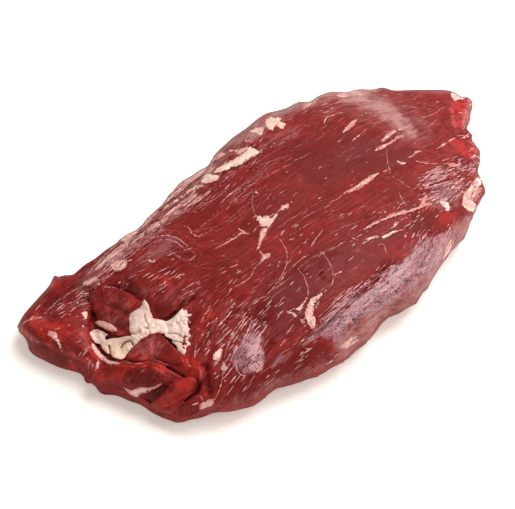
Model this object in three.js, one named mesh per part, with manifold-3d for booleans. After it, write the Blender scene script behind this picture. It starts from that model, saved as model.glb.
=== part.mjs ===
// A raw beef flank lying flat: one slab of muscle, cut across at its narrow end and trimmed thin
// at its broad end, with an open pocket of seam fat near the cut.
// Millimetres, +Z up. +X runs from the narrow cut end to the broad end, and the side at -Y is the
// thick rounded one. The origin is on the table, under the middle of the outline's box.
import * as THREE from "three";
import { mergeVertices } from "three/addons/utils/BufferGeometryUtils.js";
import { ImprovedNoise } from "three/addons/math/ImprovedNoise.js";
import Module from "manifold-3d";

const wasm = await Module();
wasm.setup();

// Driving dimensions
const LENGTH = 342;
const WIDTH = 182;
const THICKNESS = 43;

// Faces of the slab: rows along the length, which crowd towards the cut end, and columns across.
// Both are even, because the underside has one face for each two by two on top.
const ROWS = 84;
const COLUMNS = 38;
const CUT_END_CROWDING = 0.45;
const EDGE_CROWDING = 0.5;

// Places are given as [along, across]: along is 0 at the cut end and 1 at the broad end, as a share
// of LENGTH, and across is -0.5 at the thick side and 0.5 at the thin side, as a share of WIDTH.
const place = ([along, across]) => new THREE.Vector2((along - 0.5) * LENGTH, across * WIDTH);
const edgeThrough = (places) => new THREE.SplineCurve(places.map(place));

const NEAR_CUT_CORNER = [0.12, -0.402];
const FAR_CUT_CORNER = [-0.008, 0.195];
const NEAR_BROAD_CORNER = [0.84, -0.19];
const FAR_BROAD_CORNER = [0.998, 0.303];

const OUTLINE = {
  near: edgeThrough([
    NEAR_CUT_CORNER, [0.17, -0.444], [0.23, -0.466], [0.3, -0.473], [0.37, -0.48], [0.43, -0.472],
    [0.5, -0.452], [0.58, -0.422], [0.66, -0.36], [0.74, -0.288], NEAR_BROAD_CORNER,
  ]),
  far: edgeThrough([
    FAR_CUT_CORNER, [0.03, 0.228], [0.07, 0.265], [0.1, 0.283], [0.135, 0.27], [0.2, 0.3],
    [0.27, 0.33], [0.35, 0.355], [0.43, 0.42], [0.52, 0.487], [0.61, 0.525], [0.7, 0.51],
    [0.78, 0.458], [0.85, 0.395], [0.9, 0.36], [0.95, 0.338], FAR_BROAD_CORNER,
  ]),
  cut: edgeThrough([
    NEAR_CUT_CORNER, [0.092, -0.3], [0.066, -0.19], [0.044, -0.118], [0.046, -0.075], [0.01, 0.03],
    [-0.012, 0.13], FAR_CUT_CORNER,
  ]),
  broad: edgeThrough([
    NEAR_BROAD_CORNER, [0.892, -0.074], [0.917, -0.005], [0.935, 0.075], [0.952, 0.125], [0.988, 0.168],
    [1.008, 0.21], [1.008, 0.26], FAR_BROAD_CORNER,
  ]),
};

// Height of the top, as shares of THICKNESS, along the near crest, the middle and the far slope,
// each at even steps from the cut end to the broad end
const TOP_HEIGHTS = {
  near: [0.5, 0.76, 0.96, 1.02, 1.0, 0.9, 0.74, 0.5],
  middle: [0.5, 0.72, 0.9, 1.0, 1.0, 0.94, 0.8, 0.5],
  far: [0.42, 0.54, 0.73, 0.88, 0.97, 0.99, 0.84, 0.42],
};

// How far in from each edge the top and the underside roll over, and the height of the rim, in mm
const ROLL = {
  near: { top: 34, under: 13, rim: 16 },
  far: { top: 38, under: 15, rim: 11 },
  cut: { top: 11, under: 4, rim: 8 },
  broad: { top: 15, under: 7, rim: 7 },
};

// How near an edge must be, in mm, before its rim height outweighs the others
const RIM_BLEND = 4;

// Relief along the muscle's fibres: how far they slant across the length, and how high the low
// ridges and the broader swells under them rise, and how long and wide they are, in mm
const FIBRE_SLANT = 0.08;
const FIBRE_WAVES = {
  ridges: { rise: 0.9, long: 70, wide: 9, seed: 0.5 },
  swells: { rise: 2, long: 60, wide: 34, seed: 7.5 },
};

// Creases and ridges in the top: where each runs, how high it stands (below 0 it is sunk), and its
// half width, in mm
const CREASES = {
  pocketCorner: { path: [[0.096, 0.075], [0.108, 0.1]], rise: -5, half: 3.5 },
  farCorner: { path: [[0.03, 0.15], [0.07, 0.165], [0.12, 0.2], [0.17, 0.22]], rise: -2.6, half: 4 },
  farCornerFlap: { path: [[0.03, 0.09], [0.075, 0.115], [0.11, 0.14]], rise: 1.8, half: 4 },
  seam: { path: [[0.168, -0.16], [0.19, -0.172], [0.215, -0.168], [0.26, -0.15]], rise: -3.6, half: 3 },
  nearSeam: { path: [[0.15, -0.42], [0.19, -0.385], [0.245, -0.325], [0.29, -0.295]], rise: -3, half: 4 },
  cornerSplit: { path: [[0.135, -0.285], [0.145, -0.345], [0.156, -0.39]], rise: -4, half: 3.2 },
  endFlap: { path: [[0.078, -0.21], [0.104, -0.245], [0.128, -0.3]], rise: 2.6, half: 5 },
  endHollow: { path: [[0.074, -0.252], [0.098, -0.292], [0.118, -0.33]], rise: -3.4, half: 4 },
  sideGroove: { path: [[0.34, -0.43], [0.4, -0.42], [0.5, -0.385], [0.58, -0.335]], rise: -1.8, half: 4 },
  sideWaist: { path: [[0.34, -0.5], [0.35, -0.4]], rise: -2.2, half: 9 },
  broadValley: { path: [[0.76, 0.42], [0.83, 0.25], [0.87, 0.08]], rise: -3, half: 18 },
};

// Hollows torn open between the muscles, and the muscle lying in one of them: the rim of each, how
// far it rises, and the width of its wall, in mm
const HOLLOWS = {
  pocket: {
    rim: [[0.064, -0.1], [0.07, -0.03], [0.086, 0.045], [0.108, 0.092], [0.135, 0.088], [0.158, 0.035],
      [0.169, -0.04], [0.17, -0.11], [0.152, -0.165], [0.12, -0.19], [0.088, -0.198], [0.071, -0.155]],
    rise: -9, wall: 4,
  },
  muscleInPocket: {
    rim: [[0.103, 0.04], [0.13, 0.07], [0.16, -0.045], [0.134, -0.09], [0.118, -0.128], [0.104, -0.108],
      [0.094, -0.02]],
    rise: 7, wall: 5,
  },
  seamPocket: {
    rim: [[0.155, -0.165], [0.18, -0.172], [0.214, -0.184], [0.2, -0.25], [0.166, -0.3], [0.157, -0.215]],
    rise: -5, wall: 4,
  },
};

// Lumps of seam fat that stand in the hollows: place, half size in mm (along the lump, across it and
// up), turn in degrees, and how far the middle of the lump lies under the surface round the hollow
const FAT_LUMPS = [
  { at: [0.16, -0.095], half: [11, 5.5, 6], turn: 10, sunk: 4.5 },
  { at: [0.146, -0.118], half: [9, 7, 6], turn: -30, sunk: 4 },
  { at: [0.131, -0.13], half: [8, 6, 6], turn: 20, sunk: 5 },
  { at: [0.144, -0.168], half: [8, 5, 5], turn: -65, sunk: 3.5 },
  { at: [0.162, -0.182], half: [7, 5, 5], turn: -60, sunk: 3 },
  { at: [0.178, -0.203], half: [8, 6, 5], turn: -40, sunk: 3 },
  { at: [0.2, -0.192], half: [10, 5, 5], turn: 20, sunk: 3.5 },
  { at: [0.184, -0.235], half: [9, 7, 5], turn: -50, sunk: 3.5 },
  { at: [0.169, -0.275], half: [9, 4.5, 4.5], turn: -70, sunk: 3.5 },
  { at: [0.124, -0.165], half: [8, 5, 5], turn: -30, sunk: 5 },
  { at: [0.109, -0.168], half: [7, 6, 6], turn: 30, sunk: 5 },
  { at: [0.093, -0.168], half: [7, 6, 6], turn: 0, sunk: 4.5 },
  { at: [0.085, -0.132], half: [6, 6, 5], turn: 0, sunk: 4.5 },
  { at: [0.077, -0.082], half: [7, 6, 5], turn: 60, sunk: 3.5 },
  { at: [0.098, -0.068], half: [8, 3.5, 3.5], turn: -75, sunk: 3.5 },
  { at: [0.08, 0.018], half: [5, 3.5, 3], turn: -50, sunk: 1.5 },
];

// Faces of a lump, how much it swells and pinches, how finely, and how far apart two lumps' seeds are
const LUMP_SIDES = 10;
const LUMP_RINGS = 7;
const LUMP_UNEVENNESS = 0.35;
const LUMP_GRAIN = 1.3;
const LUMP_SEED_STEP = 3.7;

const noise = new ImprovedNoise();
const { clamp, smoothstep, degToRad } = THREE.MathUtils;

// The share of full height reached at a distance in from an edge that rolls over in a quarter circle.
function rollOver(distance, radius) {
  const short = 1 - Math.min(distance / radius, 1);
  return Math.sqrt(1 - short * short);
}

// A smooth value through evenly spaced samples, at t from 0 to 1.
function sampleEvenly(values, t) {
  const curve = new THREE.SplineCurve(values.map((value, i) => new THREE.Vector2(i, value)));
  return curve.getPoint(t).y;
}

// The plan point at s along and t across, blended from the four edges of the outline.
function planPoint(s, t) {
  const [near, far] = [OUTLINE.near.getPoint(s), OUTLINE.far.getPoint(s)];
  const [cut, broad] = [OUTLINE.cut.getPoint(t), OUTLINE.broad.getPoint(t)];
  const point = near.clone().multiplyScalar(1 - t).addScaledVector(far, t)
    .addScaledVector(cut, 1 - s).addScaledVector(broad, s)
    .addScaledVector(place(NEAR_CUT_CORNER), -(1 - s) * (1 - t))
    .addScaledVector(place(FAR_CUT_CORNER), -(1 - s) * t)
    .addScaledVector(place(NEAR_BROAD_CORNER), -s * (1 - t))
    .addScaledVector(place(FAR_BROAD_CORNER), -s * t);
  return { point, breadth: near.distanceTo(far), reach: cut.distanceTo(broad) };
}

// How far a plan point lies from the line between two places, in mm.
function distanceToLine(point, start, end) {
  const run = end.clone().sub(start);
  const share = clamp(point.clone().sub(start).dot(run) / run.lengthSq(), 0, 1);
  return point.distanceTo(start.clone().addScaledVector(run, share));
}

function distanceToPath(point, path) {
  const corners = path.map(place);
  return Math.min(...corners.slice(1).map((end, i) => distanceToLine(point, corners[i], end)));
}

// How far a plan point lies inside a rim of places, in mm, and below 0 outside it.
function depthInside(point, rim) {
  const corners = rim.map(place);
  let inside = false;
  let nearest = Infinity;
  corners.forEach((end, i) => {
    const start = corners.at(i - 1);
    nearest = Math.min(nearest, distanceToLine(point, start, end));
    const crosses = (start.y > point.y) !== (end.y > point.y);
    const crossing = start.x + ((end.x - start.x) * (point.y - start.y)) / (end.y - start.y);
    if (crosses && point.x < crossing) inside = !inside;
  });
  return inside ? nearest : -nearest;
}

function fibreRelief(point) {
  const across = point.y + FIBRE_SLANT * point.x;
  return Object.values(FIBRE_WAVES).reduce((sum, { rise, long, wide, seed }) =>
    sum + rise * noise.noise(point.x / long, across / wide, seed), 0);
}

function creaseRelief(point) {
  return Object.values(CREASES).reduce((sum, { path, rise, half }) => {
    const reach = distanceToPath(point, path) / half;
    return sum + rise * Math.exp(-reach * reach);
  }, 0);
}

function hollowRelief(point) {
  return Object.values(HOLLOWS).reduce((sum, { rim, rise, wall }) =>
    sum + rise * smoothstep(depthInside(point, rim), -wall / 2, wall / 2), 0);
}

// The height of the rim, blended from those of the four edges by nearness.
function rimHeight(gaps) {
  let [sum, total] = [0, 0];
  for (const [side, gap] of Object.entries(gaps)) {
    const weight = 1 / (gap + RIM_BLEND) ** 2;
    sum += weight * ROLL[side].rim;
    total += weight;
  }
  return sum / total;
}

// The full height of the top over a plan point, before the edges roll over.
function crownHeight(s, t) {
  const across = Object.values(TOP_HEIGHTS).map((shares) => sampleEvenly(shares, s));
  return THICKNESS * sampleEvenly(across, t);
}

// The plan point at s along and t across, with the heights of the top and of the underside there.
function slabAt(s, t) {
  const { point, breadth, reach } = planPoint(s, t);
  const gaps = { near: t * breadth, far: (1 - t) * breadth, cut: s * reach, broad: (1 - s) * reach };
  const rolled = (part) =>
    Object.entries(gaps).reduce((share, [side, gap]) => share * rollOver(gap, ROLL[side][part]), 1);
  const rim = rimHeight(gaps);
  const full = crownHeight(s, t) + fibreRelief(point) + creaseRelief(point) + hollowRelief(point);
  return { point, top: rim + (full - rim) * rolled("top"), under: rim * (1 - rolled("under")) };
}

// Even shares from 0 to 1 that crowd towards both ends, and more so towards 0 where start is above 0.
function crowded(i, steps, edge, start) {
  const even = i / steps;
  const eased = (1 - edge) * even + (edge * (1 - Math.cos(Math.PI * even))) / 2;
  return (1 - start) * eased + start * eased * eased;
}

// The slab as one closed surface: a sheet of small faces on top, and one of larger faces under it
// that meets it at the rim.
function slabGeometry() {
  const positions = [];
  const faces = [];
  const across = COLUMNS + 1;
  const sheet = (ROWS + 1) * across;
  for (const side of ["top", "under"]) {
    for (let i = 0; i <= ROWS; i++) {
      for (let j = 0; j <= COLUMNS; j++) {
        const at = slabAt(crowded(i, ROWS, 1, CUT_END_CROWDING), crowded(j, COLUMNS, EDGE_CROWDING, 0));
        positions.push(at.point.x, at.point.y, at[side]);
      }
    }
  }
  for (let i = 0; i < ROWS; i++) {
    for (let j = 0; j < COLUMNS; j++) {
      const corner = i * across + j;
      faces.push(corner, corner + across, corner + across + 1, corner, corner + across + 1, corner + 1);
    }
  }
  for (let i = 0; i < ROWS; i += 2) {
    for (let j = 0; j < COLUMNS; j += 2) {
      faces.push(...undersidePatch(i, j).flatMap((triangle) => triangle.map((v) => sheet + v)));
    }
  }
  const geometry = new THREE.BufferGeometry();
  geometry.setAttribute("position", new THREE.Float32BufferAttribute(positions, 3));
  geometry.setIndex(faces);
  return mergeVertices(geometry, 1e-3);
}

// The triangles of one underside face at row i and column j. A side of it on the rim keeps the
// rim's own point between its corners, so that no gap opens against the top.
function undersidePatch(i, j) {
  const vertex = (row, column) => row * (COLUMNS + 1) + column;
  const ring = [vertex(i, j)];
  if (j === 0) ring.push(vertex(i + 1, j));
  ring.push(vertex(i + 2, j));
  if (i + 2 === ROWS) ring.push(vertex(i + 2, j + 1));
  ring.push(vertex(i + 2, j + 2));
  if (j + 2 === COLUMNS) ring.push(vertex(i + 1, j + 2));
  ring.push(vertex(i, j + 2));
  if (i === 0) ring.push(vertex(i, j + 1));
  const middle = vertex(i + 1, j + 1);
  if (ring.length === 4) {
    const [a, b, c, d] = ring;
    return [[a, c, b], [a, d, c]];
  }
  return ring.map((v, k) => [v, middle, ring[(k + 1) % ring.length]]);
}

function solidFrom(geometry) {
  const bare = geometry.clone();
  bare.deleteAttribute("normal");
  bare.deleteAttribute("uv");
  const merged = mergeVertices(bare, 1e-4);
  return new wasm.Manifold(new wasm.Mesh({
    numProp: 3,
    vertProperties: merged.attributes.position.array,
    triVerts: new Uint32Array(merged.index.array),
  }));
}

function geometryFrom(solid) {
  const { vertProperties, triVerts } = solid.getMesh();
  const geometry = new THREE.BufferGeometry();
  geometry.setAttribute("position", new THREE.BufferAttribute(vertProperties, 3));
  geometry.setIndex(new THREE.BufferAttribute(triVerts, 1));
  return geometry;
}

// The biggest shell of a solid: a pocket sealed in between the lumps is filled, and a loose scrap
// dropped.
function outerShell(solid) {
  return solid.decompose().reduce((biggest, shell) =>
    (shell.volume() > biggest.volume() ? shell : biggest));
}

// The height of the muscle round the hollows over a place, from the nearest point of the crown.
function crownOver(point) {
  let best = { gap: Infinity, height: 0 };
  for (let i = 0; i <= ROWS; i++) {
    for (let j = 0; j <= COLUMNS; j++) {
      const [s, t] = [i / ROWS, j / COLUMNS];
      const gap = planPoint(s, t).point.distanceTo(point);
      if (gap < best.gap) best = { gap, height: crownHeight(s, t) };
    }
  }
  return best.height;
}

// Swells and pinches each point of a round lump along its own ray.
function roughen(geometry, seed) {
  const at = geometry.attributes.position;
  const ray = new THREE.Vector3();
  for (let i = 0; i < at.count; i++) {
    ray.fromBufferAttribute(at, i);
    const swell = noise.noise(ray.x * LUMP_GRAIN + seed, ray.y * LUMP_GRAIN, ray.z * LUMP_GRAIN);
    ray.multiplyScalar(1 + LUMP_UNEVENNESS * swell);
    at.setXYZ(i, ray.x, ray.y, ray.z);
  }
}

function lumpGeometry({ at, half, turn, sunk }, index) {
  const lump = new THREE.SphereGeometry(1, LUMP_SIDES, LUMP_RINGS);
  const point = place(at);
  roughen(lump, LUMP_SEED_STEP * index);
  lump.rotateX(Math.PI / 2);
  lump.scale(...half);
  lump.rotateZ(degToRad(turn));
  lump.translate(point.x, point.y, crownOver(point) - sunk);
  return lump;
}

// The whole flank, sized and placed so that its box is LENGTH by WIDTH by THICKNESS over the origin.
function flankGeometry() {
  const lumps = FAT_LUMPS.map((lump, index) => solidFrom(lumpGeometry(lump, index)));
  const body = lumps.reduce((joined, lump) => joined.add(lump), solidFrom(slabGeometry()));
  const flank = geometryFrom(outerShell(body));
  flank.computeBoundingBox();
  const { min, max } = flank.boundingBox;
  flank.translate(-(min.x + max.x) / 2, -(min.y + max.y) / 2, -min.z);
  flank.scale(LENGTH / (max.x - min.x), WIDTH / (max.y - min.y), THICKNESS / (max.z - min.z));
  return flank;
}

const muscle = new THREE.MeshStandardMaterial({ color: 0x8a2a2c, roughness: 0.35, metalness: 0 });

const flank = new THREE.Mesh(flankGeometry(), muscle);
flank.name = "beef_flank";

const part = new THREE.Group();
part.add(flank);
export default part;
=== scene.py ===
"""Beef flank: the looks of one raw flank of beef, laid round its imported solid. Metres, +Z up.

The flesh is one closed mesh. Its columns run along the muscle's fibres and its rows across them, so
relief, colour and the map named "fibres" all follow the grain. Marks that the photograph shows, such
as creases, torn seams and membranes, are placed by its pixels and move the flesh along the camera's
rays, so they stay where the photograph has them. Lumps and threads of fat are bodies of their own.
A path or an outline is a row of pixels, x,y after x,y; what stands before them in a table is told
above it.
"""
import math

import bmesh
import bpy
import numpy as np
from mathutils import Matrix, Vector
from mathutils.bvhtree import BVHTree


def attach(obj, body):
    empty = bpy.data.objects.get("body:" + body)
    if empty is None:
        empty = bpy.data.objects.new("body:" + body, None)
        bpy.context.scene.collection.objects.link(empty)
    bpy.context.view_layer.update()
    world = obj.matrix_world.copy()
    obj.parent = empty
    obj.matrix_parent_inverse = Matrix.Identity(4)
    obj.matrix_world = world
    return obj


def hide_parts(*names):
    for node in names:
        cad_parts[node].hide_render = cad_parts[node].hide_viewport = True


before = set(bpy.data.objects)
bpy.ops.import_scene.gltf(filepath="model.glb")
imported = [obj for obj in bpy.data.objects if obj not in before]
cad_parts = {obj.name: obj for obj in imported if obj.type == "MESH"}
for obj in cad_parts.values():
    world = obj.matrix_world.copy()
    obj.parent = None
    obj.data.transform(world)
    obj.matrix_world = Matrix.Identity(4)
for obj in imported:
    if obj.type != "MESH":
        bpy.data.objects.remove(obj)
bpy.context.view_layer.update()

MM = 0.001
NODE = "beef_flank"
BODY = "root"

# The photograph's camera
PHOTO_WIDTH = 515
PHOTO_HEIGHT = 509
LENS = 85.0
SENSOR = 36.0
CAMERA_AZIMUTH = math.radians(-35.0)
CAMERA_ELEVATION = math.radians(45.0)
CAMERA_DISTANCE = 0.703
CAMERA_TARGET = (-0.0301, -0.0034, 0.0137)


def linked(name, data):
    thing = bpy.data.objects.new(name, data)
    bpy.context.collection.objects.link(thing)
    return thing


class PhotoView:
    """The photograph's camera, as numbers: places to pixels, and pixels to rays."""

    def __init__(self):
        level = math.cos(CAMERA_ELEVATION)
        self.back = np.array([math.sin(CAMERA_AZIMUTH) * level,
                              -math.cos(CAMERA_AZIMUTH) * level,
                              math.sin(CAMERA_ELEVATION)])
        self.right = np.array([math.cos(CAMERA_AZIMUTH), math.sin(CAMERA_AZIMUTH), 0.0])
        self.up = np.cross(self.back, self.right)
        self.eye = np.array(CAMERA_TARGET) + self.back * CAMERA_DISTANCE
        self.focal = LENS / SENSOR * PHOTO_WIDTH

    def pixels(self, places):
        away = places - self.eye
        depth = -away @ self.back
        x = PHOTO_WIDTH / 2 + self.focal * (away @ self.right) / depth
        y = PHOTO_HEIGHT / 2 - self.focal * (away @ self.up) / depth
        return x, y

    def ray(self, x, y):
        aim = (-self.back + self.right * (x - PHOTO_WIDTH / 2) / self.focal
               + self.up * (PHOTO_HEIGHT / 2 - y) / self.focal)
        return aim / np.linalg.norm(aim)

    def towards(self, places):
        rays = self.eye - places
        return rays / np.linalg.norm(rays, axis=1, keepdims=True)

    def add_camera(self):
        data = bpy.data.cameras.new("camera")
        data.lens = LENS
        data.sensor_width = SENSOR
        camera = linked("camera", data)
        turn = Matrix(np.column_stack([self.right, self.up, self.back]).tolist())
        camera.matrix_world = Matrix.Translation(Vector(self.eye)) @ turn.to_4x4()
        bpy.context.scene.camera = camera


VIEW = PhotoView()
VIEW.add_camera()


# Small helpers
def smooth(value, low, high):
    share = np.clip((value - low) / (high - low), 0.0, 1.0)
    return share * share * (3.0 - 2.0 * share)


def lattice(i, j, seed):
    value = np.sin(i * 127.1 + j * 311.7 + seed * 74.7) * 43758.5453
    return value - np.floor(value)


def lumps(u, v, seed=0):
    """Smooth noise from -1 to 1, about one lump for each unit of u and v."""
    i, j = np.floor(u), np.floor(v)
    a, b = u - i, v - j
    a, b = a * a * (3 - 2 * a), b * b * (3 - 2 * b)
    low = lattice(i, j, seed) * (1 - a) + lattice(i + 1, j, seed) * a
    high = lattice(i, j + 1, seed) * (1 - a) + lattice(i + 1, j + 1, seed) * a
    return (low * (1 - b) + high * b) * 2 - 1


def curds(x, y, size, seed=0):
    """A pattern of round crumbs: how far each point is from the crack between two, from 0 to 1."""
    u, v = x / size, y / size
    i, j = np.floor(u), np.floor(v)
    first = np.full(len(x), 9.0)
    second = np.full(len(x), 9.0)
    for di in (-1, 0, 1):
        for dj in (-1, 0, 1):
            spot_u = i + di + 0.15 + 0.7 * lattice(i + di, j + dj, seed)
            spot_v = j + dj + 0.15 + 0.7 * lattice(i + di, j + dj, seed + 9)
            gap = np.hypot(u - spot_u, v - spot_v)
            second = np.where(gap < first, first, np.minimum(second, gap))
            first = np.minimum(first, gap)
    return np.clip((second - first) / 0.9, 0, 1)


def blurred(grid, radius, axis):
    """A grid softened along one axis. Its end values hold, and so does the slope there."""
    reach = int(math.ceil(radius * 2.5))
    steps = np.arange(-reach, reach + 1)
    weights = np.exp(-0.5 * (steps / radius) ** 2)
    weights /= weights.sum()
    grid = np.moveaxis(grid, axis, 0)
    first = 2 * grid[:1] - grid[reach:0:-1]
    last = 2 * grid[-1:] - grid[-2:-reach - 2:-1]
    padded = np.concatenate([first, grid, last])
    total = sum(weight * padded[k:k + len(grid)] for k, weight in enumerate(weights))
    return np.moveaxis(total, 0, axis)


def softened(grid, rows, columns):
    return blurred(blurred(grid, rows, 0), columns, 1)


def narrowed(grid, reach, axis, pick):
    """The lowest or highest value within reach along one axis."""
    grid = np.moveaxis(grid, axis, 0)
    padded = np.concatenate([grid[:1]] * reach + [grid] + [grid[-1:]] * reach)
    shifted = [padded[k:k + len(grid)] for k in range(2 * reach + 1)]
    return np.moveaxis(pick(np.array(shifted), axis=0), 0, axis)


def eased_path(path, step=1.2):
    """A smooth curve through the points of a path, cut into even steps."""
    points = np.array(path, float).reshape(-1, 2)
    padded = np.vstack([2 * points[0] - points[1], points, 2 * points[-1] - points[-2]])
    curve = []
    for k in range(1, len(padded) - 2):
        before, start, end, after = padded[k - 1:k + 3]
        count = max(2, int(np.linalg.norm(end - start) / step))
        for share in np.arange(count) / count:
            curve.append(0.5 * (2 * start + (end - before) * share
                                + (2 * before - 5 * start + 4 * end - after) * share ** 2
                                + (3 * start - before - 3 * end + after) * share ** 3))
    curve.append(points[-1])
    return np.array(curve)


def eased_ring(ring, rounds=2):
    """A closed outline with its corners cut round."""
    points = np.array(ring, float).reshape(-1, 2)
    for _ in range(rounds):
        onward = np.roll(points, -1, axis=0)
        points = np.stack([0.75 * points + 0.25 * onward,
                           0.25 * points + 0.75 * onward], axis=1).reshape(-1, 2)
    return points


def from_path(x, y, path):
    """Each point's distance to a path, its side (above 0 lies below or right), and its share along."""
    lengths = np.linalg.norm(np.diff(path, axis=0), axis=1)
    run = np.concatenate([[0], np.cumsum(lengths)])
    best = np.full(len(x), 1e9)
    side = np.zeros(len(x))
    along = np.zeros(len(x))
    for k in range(len(path) - 1):
        (ax, ay), (bx, by) = path[k], path[k + 1]
        dx, dy = bx - ax, by - ay
        share = np.clip(((x - ax) * dx + (y - ay) * dy) / (dx * dx + dy * dy + 1e-9), 0, 1)
        gap = np.hypot(x - ax - share * dx, y - ay - share * dy)
        nearer = gap < best
        best = np.where(nearer, gap, best)
        side = np.where(nearer, np.sign(dx * (y - ay) - dy * (x - ax)), side)
        along = np.where(nearer, (run[k] + share * lengths[k]) / run[-1], along)
    return best, side, along


def inside_ring(x, y, ring):
    """Each point's distance to a closed outline, above 0 inside it."""
    closed = np.vstack([ring, ring[:1]])
    gap = from_path(x, y, closed)[0]
    inside = np.zeros(len(x), bool)
    for (ax, ay), (bx, by) in zip(closed[:-1], closed[1:]):
        crosses = (ay > y) != (by > y)
        slope = (bx - ax) / (by - ay) if by != ay else 0.0
        inside ^= crosses & (x < ax + (y - ay) * slope)
    return np.where(inside, gap, -gap)


# The flesh's grid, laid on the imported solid
ROWS = 257
COLUMNS = 321
COARSE = 4
CUT_END_CROWDING = 1.3
ROW_END_CROWDING = 0.35
SIDE_CROWDING = 0.55
# The corners of the outline, in mm from the middle of the part, as its source has them
CORNERS = {"near cut": (-130.0, -73.2), "near broad": (116.3, -34.6),
           "far broad": (170.3, 55.1), "far cut": (-171.0, 35.5)}
LUMP_REACH_ROWS = 7
LUMP_REACH_COLUMNS = 12
SOFTENING_ROWS = 2.6
SOFTENING_COLUMNS = 4.0
RIM = (np.s_[0, :], np.s_[-1, :], np.s_[:, 0], np.s_[:, -1])


def crowded(count, ends, start=1.0):
    """Shares from 0 to 1 that lie closer together at both ends, and at the start."""
    even = np.linspace(0, 1, count) ** start
    return even - ends * np.sin(2 * math.pi * even) / (2 * math.pi)


def merged_solid():
    work = bmesh.new()
    work.from_mesh(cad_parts[NODE].data)
    bmesh.ops.remove_doubles(work, verts=work.verts, dist=1e-6)
    work.verts.ensure_lookup_table()
    return work


def outline_ring(work):
    """The solid's widest outline seen from above: where its top meets its underside."""
    beside = {}
    for edge in work.edges:
        up = [face.normal.z > 0 for face in edge.link_faces]
        if len(up) == 2 and up[0] != up[1]:
            first, second = (vertex.index for vertex in edge.verts)
            beside.setdefault(first, []).append(second)
            beside.setdefault(second, []).append(first)
    left_most = min(beside, key=lambda index: work.verts[index].co.x)
    ring = [left_most, beside[left_most][0]]
    while ring[-1] != left_most:
        ring.append(next(index for index in beside[ring[-1]] if index != ring[-2]))
    places = np.array([work.verts[index].co[:] for index in ring[:-1]])
    onward = np.roll(places, -1, axis=0)
    area = np.sum(places[:, 0] * onward[:, 1] - onward[:, 0] * places[:, 1])
    return places if area > 0 else places[::-1]


def resampled(places, shares):
    lengths = np.linalg.norm(np.diff(places[:, :2], axis=0), axis=1)
    run = np.concatenate([[0], np.cumsum(lengths)]) / lengths.sum()
    return np.column_stack([np.interp(shares, run, places[:, k]) for k in range(3)])


def outline_sides(ring, rows, columns):
    nearest = {name: int(np.argmin(np.hypot(ring[:, 0] - x * MM, ring[:, 1] - y * MM)))
               for name, (x, y) in CORNERS.items()}

    def stretch(start, end):
        first, last = nearest[start], nearest[end]
        last += len(ring) if last <= first else 0
        return ring[np.arange(first, last + 1) % len(ring)]

    near = resampled(stretch("near cut", "near broad"), rows)
    broad = resampled(stretch("near broad", "far broad"), columns)
    far = resampled(stretch("far broad", "far cut")[::-1], rows)
    cut = resampled(stretch("far cut", "near cut")[::-1], columns)
    return near, far, cut, broad


def spread_between(near, far, cut, broad, rows, columns):
    """The places of a grid that fills four sides."""
    s = rows[:, None, None]
    t = columns[None, :, None]
    across = (1 - t) * near[:, None] + t * far[:, None]
    along = (1 - s) * cut[None] + s * broad[None]
    corners = ((1 - s) * (1 - t) * near[0] + (1 - s) * t * far[0]
               + s * (1 - t) * near[-1] + s * t * far[-1])
    return across + along - corners


def cast_heights(tester, grid, start, aim):
    """Puts the inner places of a grid on the solid, by rays from above or below."""
    heights = grid[:, :, 2].copy()
    for i in range(1, grid.shape[0] - 1):
        for j in range(1, grid.shape[1] - 1):
            x, y = grid[i, j, :2]
            hit = tester.ray_cast((x, y, start), (0, 0, aim))[0]
            if hit is not None:
                heights[i, j] = hit.z
    return heights


def flesh_base():
    """The flesh before its marks: the top's grid, and the coarse grid of the underside."""
    work = merged_solid()
    tester = BVHTree.FromBMesh(work)
    ring = outline_ring(work)
    rows = crowded(ROWS, ROW_END_CROWDING, CUT_END_CROWDING)
    columns = crowded(COLUMNS, SIDE_CROWDING)
    sides = outline_sides(ring, rows, columns)
    top = spread_between(*sides, rows, columns)
    raw = cast_heights(tester, top, 0.2, -1)
    opened = raw
    for pick in (np.min, np.max):
        opened = narrowed(opened, LUMP_REACH_ROWS, 0, pick)
        opened = narrowed(opened, LUMP_REACH_COLUMNS, 1, pick)
    opened = np.minimum(opened, raw)
    for edge in RIM:
        opened[edge] = raw[edge]
    soft = softened(opened, SOFTENING_ROWS, SOFTENING_COLUMNS)
    for edge in RIM:
        soft[edge] = raw[edge]
    top[:, :, 2] = soft
    under = top[::COARSE, ::COARSE].copy()
    under[:, :, 2] = cast_heights(tester, under, -0.1, 1)
    work.free()
    return top, under


def grid_normals(grid):
    along = np.gradient(grid, axis=0)
    across = np.gradient(grid, axis=1)
    normals = np.cross(along, across)
    return normals / (np.linalg.norm(normals, axis=2, keepdims=True) + 1e-12)


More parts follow.
